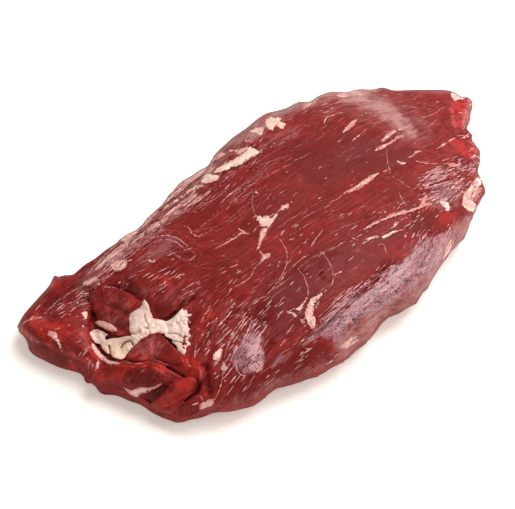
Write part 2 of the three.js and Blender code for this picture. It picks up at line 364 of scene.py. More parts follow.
# Corrections of the outline: a pixel of the photograph, the shift there and its reach, in pixels
OUTLINE_PULLS = (
    (17,326, 3,0, 11), (21,344, 4,-5, 9), (53,279, -1,-5, 5), (61,280, 0,2, 4), (72,271, 1,3, 8),
    (96,253, 1,3, 13), (114,240, 2,3, 12), (134,223, 4,5, 14), (170,199, -2,-3, 10), (183,188, -4,-5, 14),
    (206,162, 2,3, 8), (246,126, 1,2, 14), (284,106, 1,4, 14), (308,98, 1,4, 7), (332,94, 0,-4, 12),
    (362,92, 0,-4, 14), (383,91, 0,-4, 8), (462,92, -1,4, 6), (473,103, 2,-2, 6), (471,114, -2,0, 5),
    (468,134, 3,1, 5), (479,151, 2,-1, 5), (480,172, -4,0, 7), (484,190, 1,0, 6), (472,220, 1,1, 10),
    (462,236, 4,2, 12), (426,286, 2,1, 8), (410,302, 3,2, 9), (386,320, -3,-2, 12), (366,338, 2,2, 9),
    (344,356, 3,4, 15), (318,372, 2,4, 14), (298,380, 1,1, 8), (276,393, -1,-3, 8), (252,404, 1,2, 10),
    (214,416, -1,-4, 13), (190,421, 0,-2, 10), (141,406, 0,-2, 9), (105,391, -2,3, 8), (89,378, -2,5, 5),
    (60,367, 0,1, 10),
)


def pulled(places):
    """The outline brought to the photograph's, by level shifts across the picture."""
    level = VIEW.back * (1, 1, 0)
    down = level / np.linalg.norm(level) / math.sin(CAMERA_ELEVATION)
    x, y = VIEW.pixels(places)
    size = np.linalg.norm(VIEW.eye - places, axis=1) / VIEW.focal
    shift = np.zeros_like(places)
    for spot_x, spot_y, across, below, reach in OUTLINE_PULLS:
        share = np.exp(-((x - spot_x) ** 2 + (y - spot_y) ** 2) / reach ** 2) * size
        shift += share[:, None] * (across * VIEW.right + below * down)
    return places + shift


TOP, UNDER = flesh_base()
TOP = pulled(TOP.reshape(-1, 3)).reshape(TOP.shape)
UNDER = pulled(UNDER.reshape(-1, 3)).reshape(UNDER.shape)


def grid_faces(rows, columns, index, flip):
    i, j = np.meshgrid(np.arange(rows - 1), np.arange(columns - 1), indexing="ij")
    quads = np.stack([index[i, j], index[i + 1, j], index[i + 1, j + 1], index[i, j + 1]],
                     axis=-1).reshape(-1, 4)
    return quads[:, ::-1] if flip else quads


def rim_order(rows, columns):
    """The places round a grid's edge, in order."""
    out = [(i, 0) for i in range(rows - 1)]
    out += [(rows - 1, j) for j in range(columns - 1)]
    out += [(i, columns - 1) for i in range(rows - 1, 0, -1)]
    out += [(0, j) for j in range(columns - 1, 0, -1)]
    return out


def closed_faces():
    """The flesh's faces: the fine top, the coarse underside, and the strip that joins them."""
    top_index = np.arange(ROWS * COLUMNS).reshape(ROWS, COLUMNS)
    under_rows, under_columns = UNDER.shape[:2]
    inner = np.arange((under_rows - 2) * (under_columns - 2)) + ROWS * COLUMNS
    inner = inner.reshape(under_rows - 2, under_columns - 2)
    faces = grid_faces(ROWS, COLUMNS, top_index, False).tolist()
    faces += grid_faces(under_rows - 2, under_columns - 2, inner, True).tolist()
    rim = rim_order(ROWS, COLUMNS)

    def under_of(place):
        i, j = place[0] / COARSE, place[1] / COARSE
        i = min(max(int(round(i)), 1), under_rows - 2) - 1
        j = min(max(int(round(j)), 1), under_columns - 2) - 1
        return int(inner[i, j])

    for place, onward in zip(rim, rim[1:] + rim[:1]):
        outer, next_outer = int(top_index[place]), int(top_index[onward])
        below, next_below = under_of(place), under_of(onward)
        faces.append((outer, next_outer, below)[::-1])
        if below != next_below:
            faces.append((next_outer, next_below, below)[::-1])
    return faces


def shade_smooth(mesh):
    mesh.polygons.foreach_set("use_smooth", [True] * len(mesh.polygons))


def new_object(name, places, faces, material, smooth_shading=True):
    mesh = bpy.data.meshes.new(name)
    mesh.from_pydata([tuple(place) for place in places], [], faces)
    mesh.materials.append(material)
    if smooth_shading:
        shade_smooth(mesh)
    mesh.update()
    return linked(name, mesh)


def face_outwards(mesh):
    work = bmesh.new()
    work.from_mesh(mesh)
    bmesh.ops.recalc_face_normals(work, faces=work.faces)
    work.to_mesh(mesh)
    work.free()


def finished_mesh(draft, name):
    """What a draft's modifiers make of it, as a plain mesh. The draft goes."""
    bpy.context.view_layer.update()
    mesh = bpy.data.meshes.new_from_object(draft.evaluated_get(bpy.context.evaluated_depsgraph_get()))
    bpy.data.objects.remove(draft)
    mesh.name = name
    return mesh


def mesh_values(items, key):
    """The three numbers of each item, such as the places of a mesh's vertices."""
    values = np.zeros(len(items) * 3)
    items.foreach_get(key, values)
    return values.reshape(-1, 3)


class Sculptor:
    """Marks on a surface, placed by the photograph's pixels.

    Relief is gathered as millimetres towards the camera, and colour as named shares from 0 to 1.
    """

    def __init__(self, places, normals, seed=0):
        self.places = places
        self.x, self.y = VIEW.pixels(places)
        self.toward = VIEW.towards(places)
        facing = np.sum(normals * self.toward, axis=1)
        self.shown = smooth(facing, 0.02, 0.22)
        self.lift = np.zeros(len(places))
        self.tints = {}
        self.ragged = self.mottle(5.0, seed) + 0.6 * self.mottle(2.2, seed + 1)

    def mottle(self, size, seed):
        """Smooth noise over the picture, about one lump for each size of pixels."""
        return lumps(self.x / size, self.y / size, seed)

    def beside(self, path, reach):
        low = path.min(axis=0) - reach
        high = path.max(axis=0) + reach
        return np.nonzero((self.x > low[0]) & (self.x < high[0])
                          & (self.y > low[1]) & (self.y < high[1]) & (self.shown > 0))[0]

    def measured(self, path, reach):
        path = eased_path(path)
        pick = self.beside(path, reach)
        gap, side, along = from_path(self.x[pick], self.y[pick], path)
        return pick, gap, side, along

    def groove(self, path, width, depth, ends=0.12):
        """A crease: width and path in pixels, depth in mm."""
        pick, gap, _, along = self.measured(path, width * 3.5)
        fade = smooth(along, 0, ends) * smooth(1 - along, 0, ends) if ends else 1.0
        self.lift[pick] -= depth * np.exp(-(gap / width) ** 2) * fade

    def fold(self, path, raised, height, reach, drop, drop_reach, ends=0.12):
        """One sheet of muscle lies over another. The path runs from left to right; the sheet on the
        raised side stands up along it, and the other side is sunk."""
        sign = 1.0 if raised == "below" else -1.0
        pick, gap, side, along = self.measured(path, max(reach, drop_reach) * 3.0)
        fade = smooth(along, 0, ends) * smooth(1 - along, 0, ends)
        rounded = 1 - np.exp(-(gap / 1.6) ** 2)
        high = height * np.exp(-gap / reach) * rounded
        low = -drop * np.exp(-gap / drop_reach)
        self.lift[pick] += np.where(side * sign > 0, high, low * rounded) * fade

    def swell(self, ring, height, edge):
        """A lobe, or a hollow where the height is below 0, inside an outline."""
        ring = eased_ring(ring)
        pick = self.beside(ring, 1.0)
        depth = inside_ring(self.x[pick], self.y[pick], ring)
        share = np.clip(depth / edge, 0, 1)
        self.lift[pick] += height * np.sqrt(np.clip(1 - (1 - share) ** 2, 0, 1))

    def tint(self, name, ring, strength, edge=2.0, rag=1.5):
        """A patch of colour inside an outline, with a ragged edge."""
        ring = eased_ring(ring, 1)
        pick = self.beside(ring, edge + rag * 2)
        depth = inside_ring(self.x[pick], self.y[pick], ring) + rag * self.ragged[pick]
        self.stain(name, pick, strength * smooth(depth, -edge / 2, edge / 2))

    def stripe(self, name, path, width, strength, rag=0.5):
        pick, gap, _, along = self.measured(path, width * 2 + rag * 2)
        half = width * (0.35 + 0.65 * np.sqrt(np.clip(4 * along * (1 - along), 0, 1)))
        depth = half - gap + rag * self.ragged[pick]
        self.stain(name, pick, strength * smooth(depth, -0.7, 0.7))

    def stain(self, name, pick, share):
        layer = self.tints.setdefault(name, np.zeros(len(self.places)))
        layer[pick] = np.maximum(layer[pick], share * self.shown[pick])

    def moved(self):
        return self.places + self.toward * (self.lift * self.shown * MM)[:, None]


# Folds, seams and hollows of the flesh: places in the photograph's pixels, heights in mm
def shape_pocket(flesh):
    """The open seam at the cut end, with the creases round it."""
    flesh.swell((93,308, 94,300, 98,294, 104,291, 112,290, 122,292, 131,296, 138,301, 146,306, 151,317,
        158,322, 168,322, 176,316, 183,311, 184,326, 183,340, 179,352, 168,344, 160,336, 148,340, 138,348,
        126,360, 112,361, 100,352, 92,342, 88,332, 88,322, 91,314), -3.2, 4.5)
    flesh.groove((89,306, 88,299, 91,292, 97,286), 1.5, 2.4)
    flesh.groove((111,285, 119,287, 128,291, 139,298), 1.5, 2.6)
    flesh.groove((123,274, 127,282, 133,289, 140,295), 3.0, 1.6)
    flesh.groove((158,320, 167,319, 175,313, 183,305, 193,299, 201,294), 1.8, 3.2, 0.2)
    flesh.fold((183,308, 192,301, 201,295, 208,292), "below", 0.8, 3.0, 1.4, 2.0)
    flesh.groove((94,344, 101,352, 109,359, 119,361), 1.6, 3.4)
    flesh.fold((79,311, 85,309, 92,309, 98,313, 103,319), "above", 1.2, 3.0, 2.6, 2.6)
    flesh.groove((62,318, 74,311, 84,303, 92,296), 1.2, 0.8)
    flesh.groove((66,312, 76,305, 86,297), 1.0, 0.7)
    flesh.groove((186,300, 180,306, 170,308, 158,315), 1.2, 1.0)


def shape_cut_end(flesh):
    """The sloping cut face, its crest, and the hollows under the flaps."""
    flesh.fold((20,327, 24,322, 32,319, 40,317, 45,318), "below", 1.0, 4.0, 1.4, 2.4)
    flesh.fold((22,339, 34,341, 46,344, 58,350, 70,356, 84,360, 92,362), "above", 0.8, 4.0, 2.2, 5.0)
    flesh.fold((92,341, 97,350, 102,358, 108,364, 118,366), "above", 1.0, 3.0, 0.6, 2.0)
    flesh.fold((86,382, 89,374, 93,367, 98,363), "below", 1.2, 4.0, 3.0, 2.4, 0.05)
    flesh.swell((86,384, 100,383, 120,385, 132,394, 140,398, 150,392, 160,385, 170,382, 168,392, 158,402,
        148,410, 128,400, 104,394), -3.0, 4.0)
    flesh.groove((174,414, 179,406, 188,399, 195,394, 199,387, 201,381), 1.6, 3.6)
    flesh.groove((165,366, 172,371, 180,376, 187,380), 1.6, 2.8)
    flesh.groove((200,383, 206,387, 212,390), 1.0, 0.8)
    flesh.groove((205,362, 206,374, 207,384, 210,396), 3.2, 2.6)
    flesh.groove((188,356, 190,366, 187,376), 1.4, 1.2)
    flesh.groove((176,376, 190,386, 200,396), 1.0, 0.8)
    flesh.swell((197,371, 202,368, 207,373, 206,380, 201,383, 197,379), 2.2, 3.0)


def shape_top(flesh):
    """Long folds of the top, between the far edge and the near seam."""
    flesh.fold((62,300, 72,292, 84,285, 98,276, 112,266, 126,255, 138,246, 152,235, 165,226, 178,214,
        192,208), "below", 1.3, 5.0, 1.8, 3.0)
    flesh.groove((40,310, 48,301, 60,296, 74,290, 86,284), 3.5, 1.8)
    flesh.groove((42,322, 50,314, 60,306, 72,300), 2.0, 1.0)
    flesh.fold((47,322, 53,313, 62,306, 74,299), "below", 0.8, 3.0, 0.6, 2.0)
    flesh.fold((112,254, 130,239, 150,219, 168,207, 184,197, 204,186), "above", 1.0, 4.0, 1.2, 2.5)
    flesh.groove((209,172, 224,165, 236,158, 246,152, 258,146), 1.6, 1.4)
    flesh.groove((228,168, 238,166, 246,161), 1.4, 1.0)
    flesh.fold((145,262, 150,255, 160,251, 172,251, 182,254), "below", 0.9, 4.0, 0.8, 2.0)
    flesh.fold((116,268, 126,264, 138,260, 148,262), "below", 0.9, 4.0, 0.8, 2.0)
    flesh.groove((110,276, 122,274, 134,270, 146,264), 2.4, 1.2)
    flesh.fold((178,268, 196,268, 214,266, 232,262), "above", 0.5, 5.0, 0.5, 4.0)
    flesh.groove((240,282, 256,282, 270,280, 276,276), 4.0, 0.8)
    flesh.groove((289,268, 300,274, 312,278, 324,276), 4.5, 1.0)
    flesh.swell((318,262, 330,254, 345,250, 350,262, 342,276, 330,284, 320,276), 0.9, 9.0)
    flesh.groove((408,232, 420,214, 436,206, 446,205), 3.0, 1.2)
    flesh.swell((410,214, 424,208, 440,206, 452,212, 450,224, 436,232, 418,236, 408,228), 1.2, 8.0)
    flesh.groove((378,145, 388,139, 398,133), 1.2, 1.2)
    flesh.groove((384,172, 398,166, 414,168), 5.0, 0.7)


def shape_near_side(flesh):
    """The seam along the near side, and the deep crease below the second star of fat."""
    flesh.fold((214,406, 220,388, 223,372, 226,350, 236,328, 250,306, 262,297, 274,287, 287,270), "below",
        1.2, 5.0, 1.5, 3.0)
    flesh.groove((199,384, 206,364, 212,344, 222,326, 234,308, 246,294), 3.5, 1.4)
    flesh.groove((308,340, 316,334, 326,326, 338,315, 352,300, 366,288, 376,279, 387,262), 1.7, 2.6)
    flesh.fold((262,366, 268,350, 280,338, 292,330, 304,328), "below", 0.9, 4.0, 0.9, 3.0)
    flesh.groove((262,362, 268,350, 274,342), 3.0, 1.2)
    for path in ((322,316, 344,294), (318,320, 336,300), (374,284, 392,258), (380,284, 398,260), (286,340,
        300,326), (296,340, 308,328)):
        flesh.groove(path, 0.9, 0.9)
    flesh.groove((348,312, 352,320, 357,322), 1.2, 0.7)
    flesh.groove((358,318, 362,312, 370,308), 1.2, 0.7)
    flesh.groove((384,281, 391,287, 396,293), 1.1, 0.7)
    flesh.groove((420,246, 426,237, 430,230), 1.5, 1.0)
    flesh.groove((440,244, 443,250, 438,256), 1.4, 0.8)


def shape_broad_end(flesh):
    """The short cut faces and steps of the broad end."""
    flesh.fold((436,206, 448,208, 460,208, 470,212), "below", 0.8, 4.0, 1.2, 3.0)
    flesh.groove((422,180, 440,176, 458,170, 476,166), 1.5, 0.8)
    flesh.groove((420,190, 440,184, 460,178, 474,172), 1.5, 0.9)
    flesh.groove((446,204, 452,196, 462,188), 2.4, 1.2)
    flesh.fold((449,92, 451,104, 453,118, 458,132), "above", 0.5, 4.0, 0.9, 4.0)
    flesh.groove((452,132, 460,134, 468,131), 1.4, 0.9)


# Colours of the flesh: patches in the photograph's pixels. Each tint has the width of its edge and how
# ragged that is, then its patches: the strength, and the outline. Smears of fat have a width, a
# strength and a path
FLESH_COLOURS = (
    ("fresh", 5.0, 2.0, (
        (0.7, 17,324, 24,319, 40,317, 56,324, 74,326, 92,338, 99,350, 101,364, 95,372, 84,362, 66,354, 46,344,
         26,338),
        (0.66, 88,379, 94,364, 106,362, 124,360, 146,358, 164,364, 182,375, 168,374, 150,368, 132,367,
         122,374, 120,384, 102,382),
        (0.52, 150,405, 158,398, 168,390, 178,380, 190,372, 200,375, 197,386, 188,395, 176,404, 172,413,
         160,411),
        (0.95, 450,104, 456,98, 466,98, 473,104, 467,112, 466,128, 456,133, 451,122),
        (0.55, 450,134, 462,132, 474,141, 480,150, 474,158, 458,158, 450,150),
        (0.38, 438,214, 448,210, 460,214, 458,221, 447,225, 436,222),
        (0.7, 47,283, 54,275, 62,276, 60,286, 52,291),
        (0.6, 28,316, 38,309, 44,312, 38,318),
        (0.6, 124,358, 134,350, 144,342, 156,338, 160,346, 154,358, 140,362),
        (0.3, 94,300, 100,291, 112,288, 126,293, 141,301, 138,311, 132,320, 133,334, 116,335, 102,326,
         95,314),
        (0.35, 196,318, 210,306, 224,300, 222,318, 206,340, 194,342),
        (0.6, 178,356, 190,352, 204,366, 198,380, 186,374),
        (0.4, 150,280, 166,270, 176,282, 160,300, 150,296))),
    # Painted shade: a soft darkening over wide stretches of the top and the near side
    ("painted_shade", 22.0, 4.0, (
        (0.45, 300,142, 330,128, 368,130, 396,140, 416,150, 408,168, 376,176, 340,184, 306,188, 290,166),
        (0.3, 268,178, 300,180, 330,176, 344,200, 310,224, 280,240, 252,232, 246,200),
        (0.44, 300,252, 340,240, 362,250, 360,276, 330,300, 300,332, 270,350, 240,330, 232,310, 262,296),
        (0.45, 234,366, 262,360, 300,340, 322,344, 330,360, 290,384, 256,404, 228,408, 222,390),
        (0.3, 400,214, 440,208, 446,226, 420,240, 380,254, 360,262, 356,246),
        (0.2, 182,262, 200,246, 230,240, 250,262, 240,290, 200,300, 184,286))),
    ("bright", 7.0, 2.4, (
        (1.0, 453,100, 460,99, 470,100, 472,108, 468,124, 462,132, 456,126, 455,112),
        (0.7, 456,141, 466,138, 477,147, 478,155, 470,161, 466,155, 461,158),
        (0.5, 86,330, 92,338, 99,350, 102,362, 96,362, 88,350, 80,338),
        (0.65, 68,358, 84,359, 99,366, 96,378, 80,376, 66,367),
        (0.5, 126,354, 140,340, 156,334, 166,342, 152,352, 136,361),
        (0.4, 150,404, 158,400, 166,398, 174,408, 168,412, 158,410))),
    # Dark: partly dry brown muscle, partly painted shade in creases, hollows and on the shaded lower cut face
    ("dark", 5.0, 2.0, (
        (0.55, 22,337, 40,342, 60,350, 80,359, 94,368, 90,376, 70,371, 46,363, 30,352),
        (0.6, 151,306, 164,300, 176,305, 168,316, 156,318),
        (0.55, 124,374, 134,368, 150,369, 162,376, 166,382, 150,385, 132,386),
        (0.6, 143,399, 152,392, 164,384, 172,384, 164,394, 152,402),
        (0.45, 174,412, 182,404, 192,397, 202,398, 200,412, 190,418, 180,418),
        (0.4, 204,364, 214,366, 220,376, 214,400, 204,392, 203,376),
        (0.5, 124,276, 134,280, 142,290, 140,298, 130,292, 122,286),
        (0.7, 40,308, 52,297, 64,294, 60,304, 48,310),
        (0.22, 14,318, 30,311, 48,310, 62,314, 58,326, 40,332, 22,330),
        (0.9, 158,320, 170,312, 184,304, 184,310, 172,320, 162,323),
        (0.45, 164,340, 172,344, 180,353, 184,360, 174,362, 164,356, 160,346),
        (0.5, 408,216, 424,210, 438,210, 436,226, 424,234, 410,230),
        (0.4, 384,166, 400,158, 416,166, 414,180, 396,186),
        (0.5, 110,266, 128,256, 140,256, 130,268, 114,276),
        (0.5, 86,310, 92,311, 97,314, 98,324, 92,328, 86,322),
        (0.45, 104,310, 116,309, 131,317, 131,334, 110,331, 100,322))),
    ("membrane_and_sheen", 12.0, 3.0, (
        (0.44, 70,284, 90,266, 118,242, 150,212, 178,184, 206,158, 222,148, 238,150, 224,172, 200,196,
         176,218, 148,242, 118,264, 96,282, 80,298),
        (0.95, 112,262, 122,250, 133,239, 136,243, 126,254, 116,266),
        (0.62, 222,148, 250,128, 282,106, 310,92, 345,84, 372,84, 380,92, 335,98, 305,110, 276,126, 250,144),
        # This patch and the next two paint a sheen along the top edge near the broad end, as membrane tone
        (0.9, 340,90, 352,87, 364,90, 358,97, 344,98),
        (0.58, 336,96, 352,91, 366,93, 382,102, 400,110, 414,126, 422,138, 412,140, 396,124, 376,114, 356,106,
         340,101),
        (0.18, 326,92, 350,85, 374,86, 400,96, 424,112, 438,134, 424,148, 404,140, 384,126, 360,114, 336,106),
        (0.4, 120,270, 140,258, 156,240, 170,232, 184,238, 170,256, 146,270),
        # This patch also paints that sheen
        (0.35, 392,128, 412,124, 424,134, 418,140, 404,134),
        (0.24, 95,300, 104,291, 118,290, 134,300, 132,316, 130,334, 110,331, 98,318),
        (0.3, 256,150, 264,134, 284,127, 308,120, 302,136, 282,147),
        (0.24, 120,288, 150,280, 190,284, 198,300, 170,308, 140,302),
        (0.3, 66,306, 80,296, 96,290, 94,302, 78,312),
        (0.4, 124,352, 140,340, 156,334, 170,346, 160,358, 140,358),
        (0.44, 422,190, 440,184, 462,178, 470,190, 456,208, 434,212),
        (0.4, 226,420, 232,398, 256,388, 292,374, 330,352, 366,326, 404,294, 424,270, 446,246, 456,224,
         470,208, 490,220, 440,300, 380,350, 300,400),
        (0.62, 330,350, 338,334, 350,322, 368,311, 386,299, 400,286, 414,274, 428,260, 442,242, 456,222,
         466,212, 484,222, 440,300, 380,345, 340,364))),
    # Wet: the wet membrane's own lilac tone, partly a painted highlight of the wet film
    ("wet", 7.0, 3.0, (
        (0.75, 232,366, 232,354, 242,338, 254,334, 261,336, 263,346, 262,356, 265,364, 260,371, 246,375,
         238,370),
        (0.85, 244,358, 246,347, 254,338, 261,338, 261,349, 254,359),
        (0.4, 270,366, 278,357, 288,350, 294,352, 286,361, 275,368),
        (0.8, 299,345, 306,338, 316,331, 330,330, 340,322, 346,338, 336,341, 322,336, 312,340),
        (0.85, 313,333, 322,322, 334,310, 346,299, 358,291, 354,303, 341,315, 329,330, 320,337),
        (0.8, 326,320, 334,312, 348,304, 356,300, 348,312, 340,318, 332,334, 328,330),
        (1.0, 322,326, 336,314, 350,302, 366,292, 380,281, 392,268, 404,262, 414,268, 418,280, 406,288,
         394,300, 378,310, 362,316, 350,324, 340,336, 330,336),
        (0.85, 412,246, 422,239, 440,236, 450,231, 456,232, 450,246, 440,262, 428,270, 416,264, 412,256),
        (0.9, 404,264, 414,254, 426,256, 430,268, 416,278, 404,274),
        (0.14, 421,178, 432,169, 448,165, 464,163, 476,164, 466,174, 450,186, 436,196, 424,190),
        (0.75, 430,200, 438,192, 450,188, 452,197, 442,203),
        (0.3, 198,372, 203,369, 207,374, 204,382, 198,381))),
    # Painted glints: pale lilac highlights on the brightest wet places
    ("painted_glint", 6.0, 2.0, (
        (0.95, 245,358, 246,348, 252,340, 260,337, 262,345, 260,353, 253,360),
        (0.8, 249,367, 252,361, 260,359, 265,365, 262,371, 254,372),
        (0.4, 376,292, 388,282, 400,270, 410,268, 412,276, 402,286, 388,296),
        (0.3, 340,322, 352,312, 366,300, 372,302, 360,314, 346,326),
        (0.6, 420,180, 430,172, 442,168, 446,172, 436,179, 424,183),
        (0.45, 440,236, 448,230, 454,232, 446,244, 440,246))),
    # Painted sheen: a greyish pink haze along the far top edge
    ("painted_sheen", 16.0, 2.0, (
        (0.56, 338,92, 354,88, 372,92, 388,102, 402,116, 414,133, 408,139, 394,128, 380,116, 362,106,
         346,100),
        (0.1, 300,100, 328,88, 366,84, 396,94, 420,112, 436,134, 424,146, 400,140, 374,124, 342,112, 312,110),
        (0.16, 222,150, 250,128, 282,107, 312,93, 304,103, 276,120, 252,137, 228,157),
        (0.08, 110,262, 130,244, 158,222, 166,226, 144,246, 120,266))),
)
FAT_SMEARS = (
    (4.0, 0.55, 146,214, 132,228, 122,240),
    (2.0, 0.4, 120,262, 128,254, 136,247),
    (4.0, 0.4, 340,350, 350,343, 360,336),
    (1.6, 0.5, 324,370, 332,360, 340,352),
    (2.6, 0.5, 170,213, 184,203, 197,194),
    (2.2, 0.5, 186,207, 198,199, 210,191),
    (2.6, 0.36, 194,186, 206,173, 216,165),
    (2.0, 0.35, 104,290, 107,284, 113,282),
    (4.5, 0.65, 113,268, 120,266, 126,262),
    (2.6, 0.5, 101,354, 108,361, 119,363),
    (2.0, 0.7, 98,362, 97,368),
    (2.4, 0.6, 92,343, 96,350, 101,356, 107,361),
    (1.6, 0.4, 86,358, 92,364, 96,371),
    (1.6, 0.35, 24,322, 32,318, 42,317),
    (1.6, 0.5, 146,303, 150,312, 152,320),
    (2.4, 0.5, 452,240, 449,248, 446,256, 443,263),
    (3.0, 0.5, 468,206, 474,196, 478,184),
    (3.0, 0.5, 296,99, 312,92, 330,88, 346,86, 364,87, 376,89),
    (3.0, 0.45, 338,95, 350,93, 362,94),
    (4.5, 0.72, 122,240, 134,229, 146,219, 156,211),
    (3.0, 0.55, 160,206, 170,196, 182,186, 194,176, 206,166, 216,158),
    (2.0, 0.45, 132,242, 146,232, 160,222, 170,214, 186,210),
    (2.6, 0.55, 96,270, 108,259, 120,248, 132,238),
)


def colour_flesh(flesh):
    """Fresh cut red; dark muscle, partly dry and partly painted shade; painted shade over wide stretches;
    silvery membrane that also paints a sheen; wet crackled membrane, partly a painted highlight; painted
    glints, painted sheen and smears of fat.
    """
    for tint, edge, rag, patches in FLESH_COLOURS:
        for strength, *ring in patches:
            flesh.tint(tint, ring, strength, edge, rag)
    for width, strength, *path in FAT_SMEARS:
        flesh.stripe("cream", path, width, strength)


# Bodies of fat. Each outline is in the photograph's pixels; stand is how far its front stands out
# of the smooth flesh, sink how deep its back lies in it, and dome how much its middle swells, in mm
POCKET_FAT = {
    "upright lump": dict(stand=0.5, sink=9.0, dome=2.4, crumb=0.5, crumb_size=7.0, outline=(144,298, 147,302,
        150,308, 150,312, 153,316, 152,320, 152,325, 148,329, 140,333, 131,334, 129,329, 130,323, 128,319,
        130,313, 136,309, 141,305)),
    "bridge": dict(stand=0.3, sink=8.0, dome=1.4, yellow=0.2, crumb=0.6, outline=(149,318, 158,319, 166,321,
        170,327, 168,333, 163,334, 158,333, 150,336, 141,340, 133,339, 130,333, 140,328)),
    "right wedge": dict(stand=0.2, sink=6.0, dome=0.6, rounds=1, crumb=0.8, crumb_size=4.5, outline=(164,322,
        170,320, 176,315, 181,309, 190,304, 192,308, 188,312, 193,315, 187,318, 192,322, 187,325, 192,329,
        188,332, 193,336, 187,339, 192,345, 187,346, 187,350, 184,356, 180,353, 177,350, 177,346, 171,342,
        174,340, 163,336, 168,334, 170,332, 164,329, 162,325)),
    "lower lobe": dict(stand=0.1, sink=8.0, dome=1.8, yellow=0.7, crumb=0.4, outline=(131,333, 139,335,
        141,340, 138,344, 133,349, 127,355, 123,360, 117,359, 112,357, 110,351, 112,346, 118,347, 124,342,
        131,341)),
    "left lobe": dict(stand=-0.2, sink=8.0, dome=1.8, yellow=0.6, crumb=0.35, outline=(130,335, 131,339,
        124,343, 119,347, 114,352, 110,352, 109,355, 104,351, 100,345, 103,341, 111,338, 119,338)),
    "pale block": dict(stand=0.8, sink=8.0, dome=0.4, rounds=0, outline=(89,333, 93,330, 97,329, 102,331,
        108,334.5, 105,337.5, 105,341, 100,344, 95,343, 91,338)),
    "flat oval": dict(stand=0.7, sink=7.0, dome=0.7, rounds=0, rose=0.7, outline=(95,322, 99,320.5, 105,321.5,
        111,324, 116,328, 117.5,331.5, 112,331.5, 106,329.5, 100,326.5, 96,324)),
    "small wedge": dict(stand=0.5, sink=3.0, dome=0.6, rounds=1, rose=0.3, outline=(74,317, 78,315, 82,312,
        87,311, 88,315, 87,320, 81,319)),
    "lip": dict(stand=0.1, sink=3.0, dome=0.5, rose=0.6, outline=(101,356, 106,359, 112,362, 120,362, 115,365,
        108,365, 103,361)),
}
MUSCLE_LUMPS = {
    "dark chunk": dict(stand=0.5, sink=9.0, dome=1.2, outline=(91,305, 92,298, 95,293, 100,290, 107,288,
        115,288, 123,290, 131,294, 138,299, 144,302, 142,308, 137,312, 134,316, 134,324, 134,335, 119,337,
        106,331, 97,323, 97,316, 92,311)),
    "seam flap": dict(stand=0.5, sink=8.0, dome=1.1, outline=(123,359, 130,350, 138,342, 147,335, 154,331,
        159,331, 163,336, 169,342, 175,348, 180,354, 184,360, 185,363, 178,365, 170,363, 160,360, 152,357,
        146,361, 136,362)),
    "front flap": dict(stand=1.0, sink=7.0, dome=1.3, outline=(87,381, 90,375, 94,368, 98,364, 108,365,
        120,365, 130,365, 143,367, 150,362, 158,363, 166,368, 176,373, 184,378, 177,380, 168,382, 160,384,
        150,386, 141,387, 134,388, 127,385, 121,385, 112,384, 104,383, 96,382)),
    "corner lobe": dict(stand=0.8, sink=7.0, dome=1.8, outline=(149,404, 156,399, 163,393, 168,387, 174,381,
        182,378, 190,376, 197,379, 198,384, 194,391, 188,397, 182,402, 177,408, 173,414, 165,413, 158,411,
        152,408)),
    "corner toe": dict(stand=0.4, sink=6.0, dome=1.4, outline=(175,414, 179,407, 185,402, 191,398, 197,394,
        202,398, 205,403, 201,409, 196,415, 188,418, 180,419, 176,418)),
}
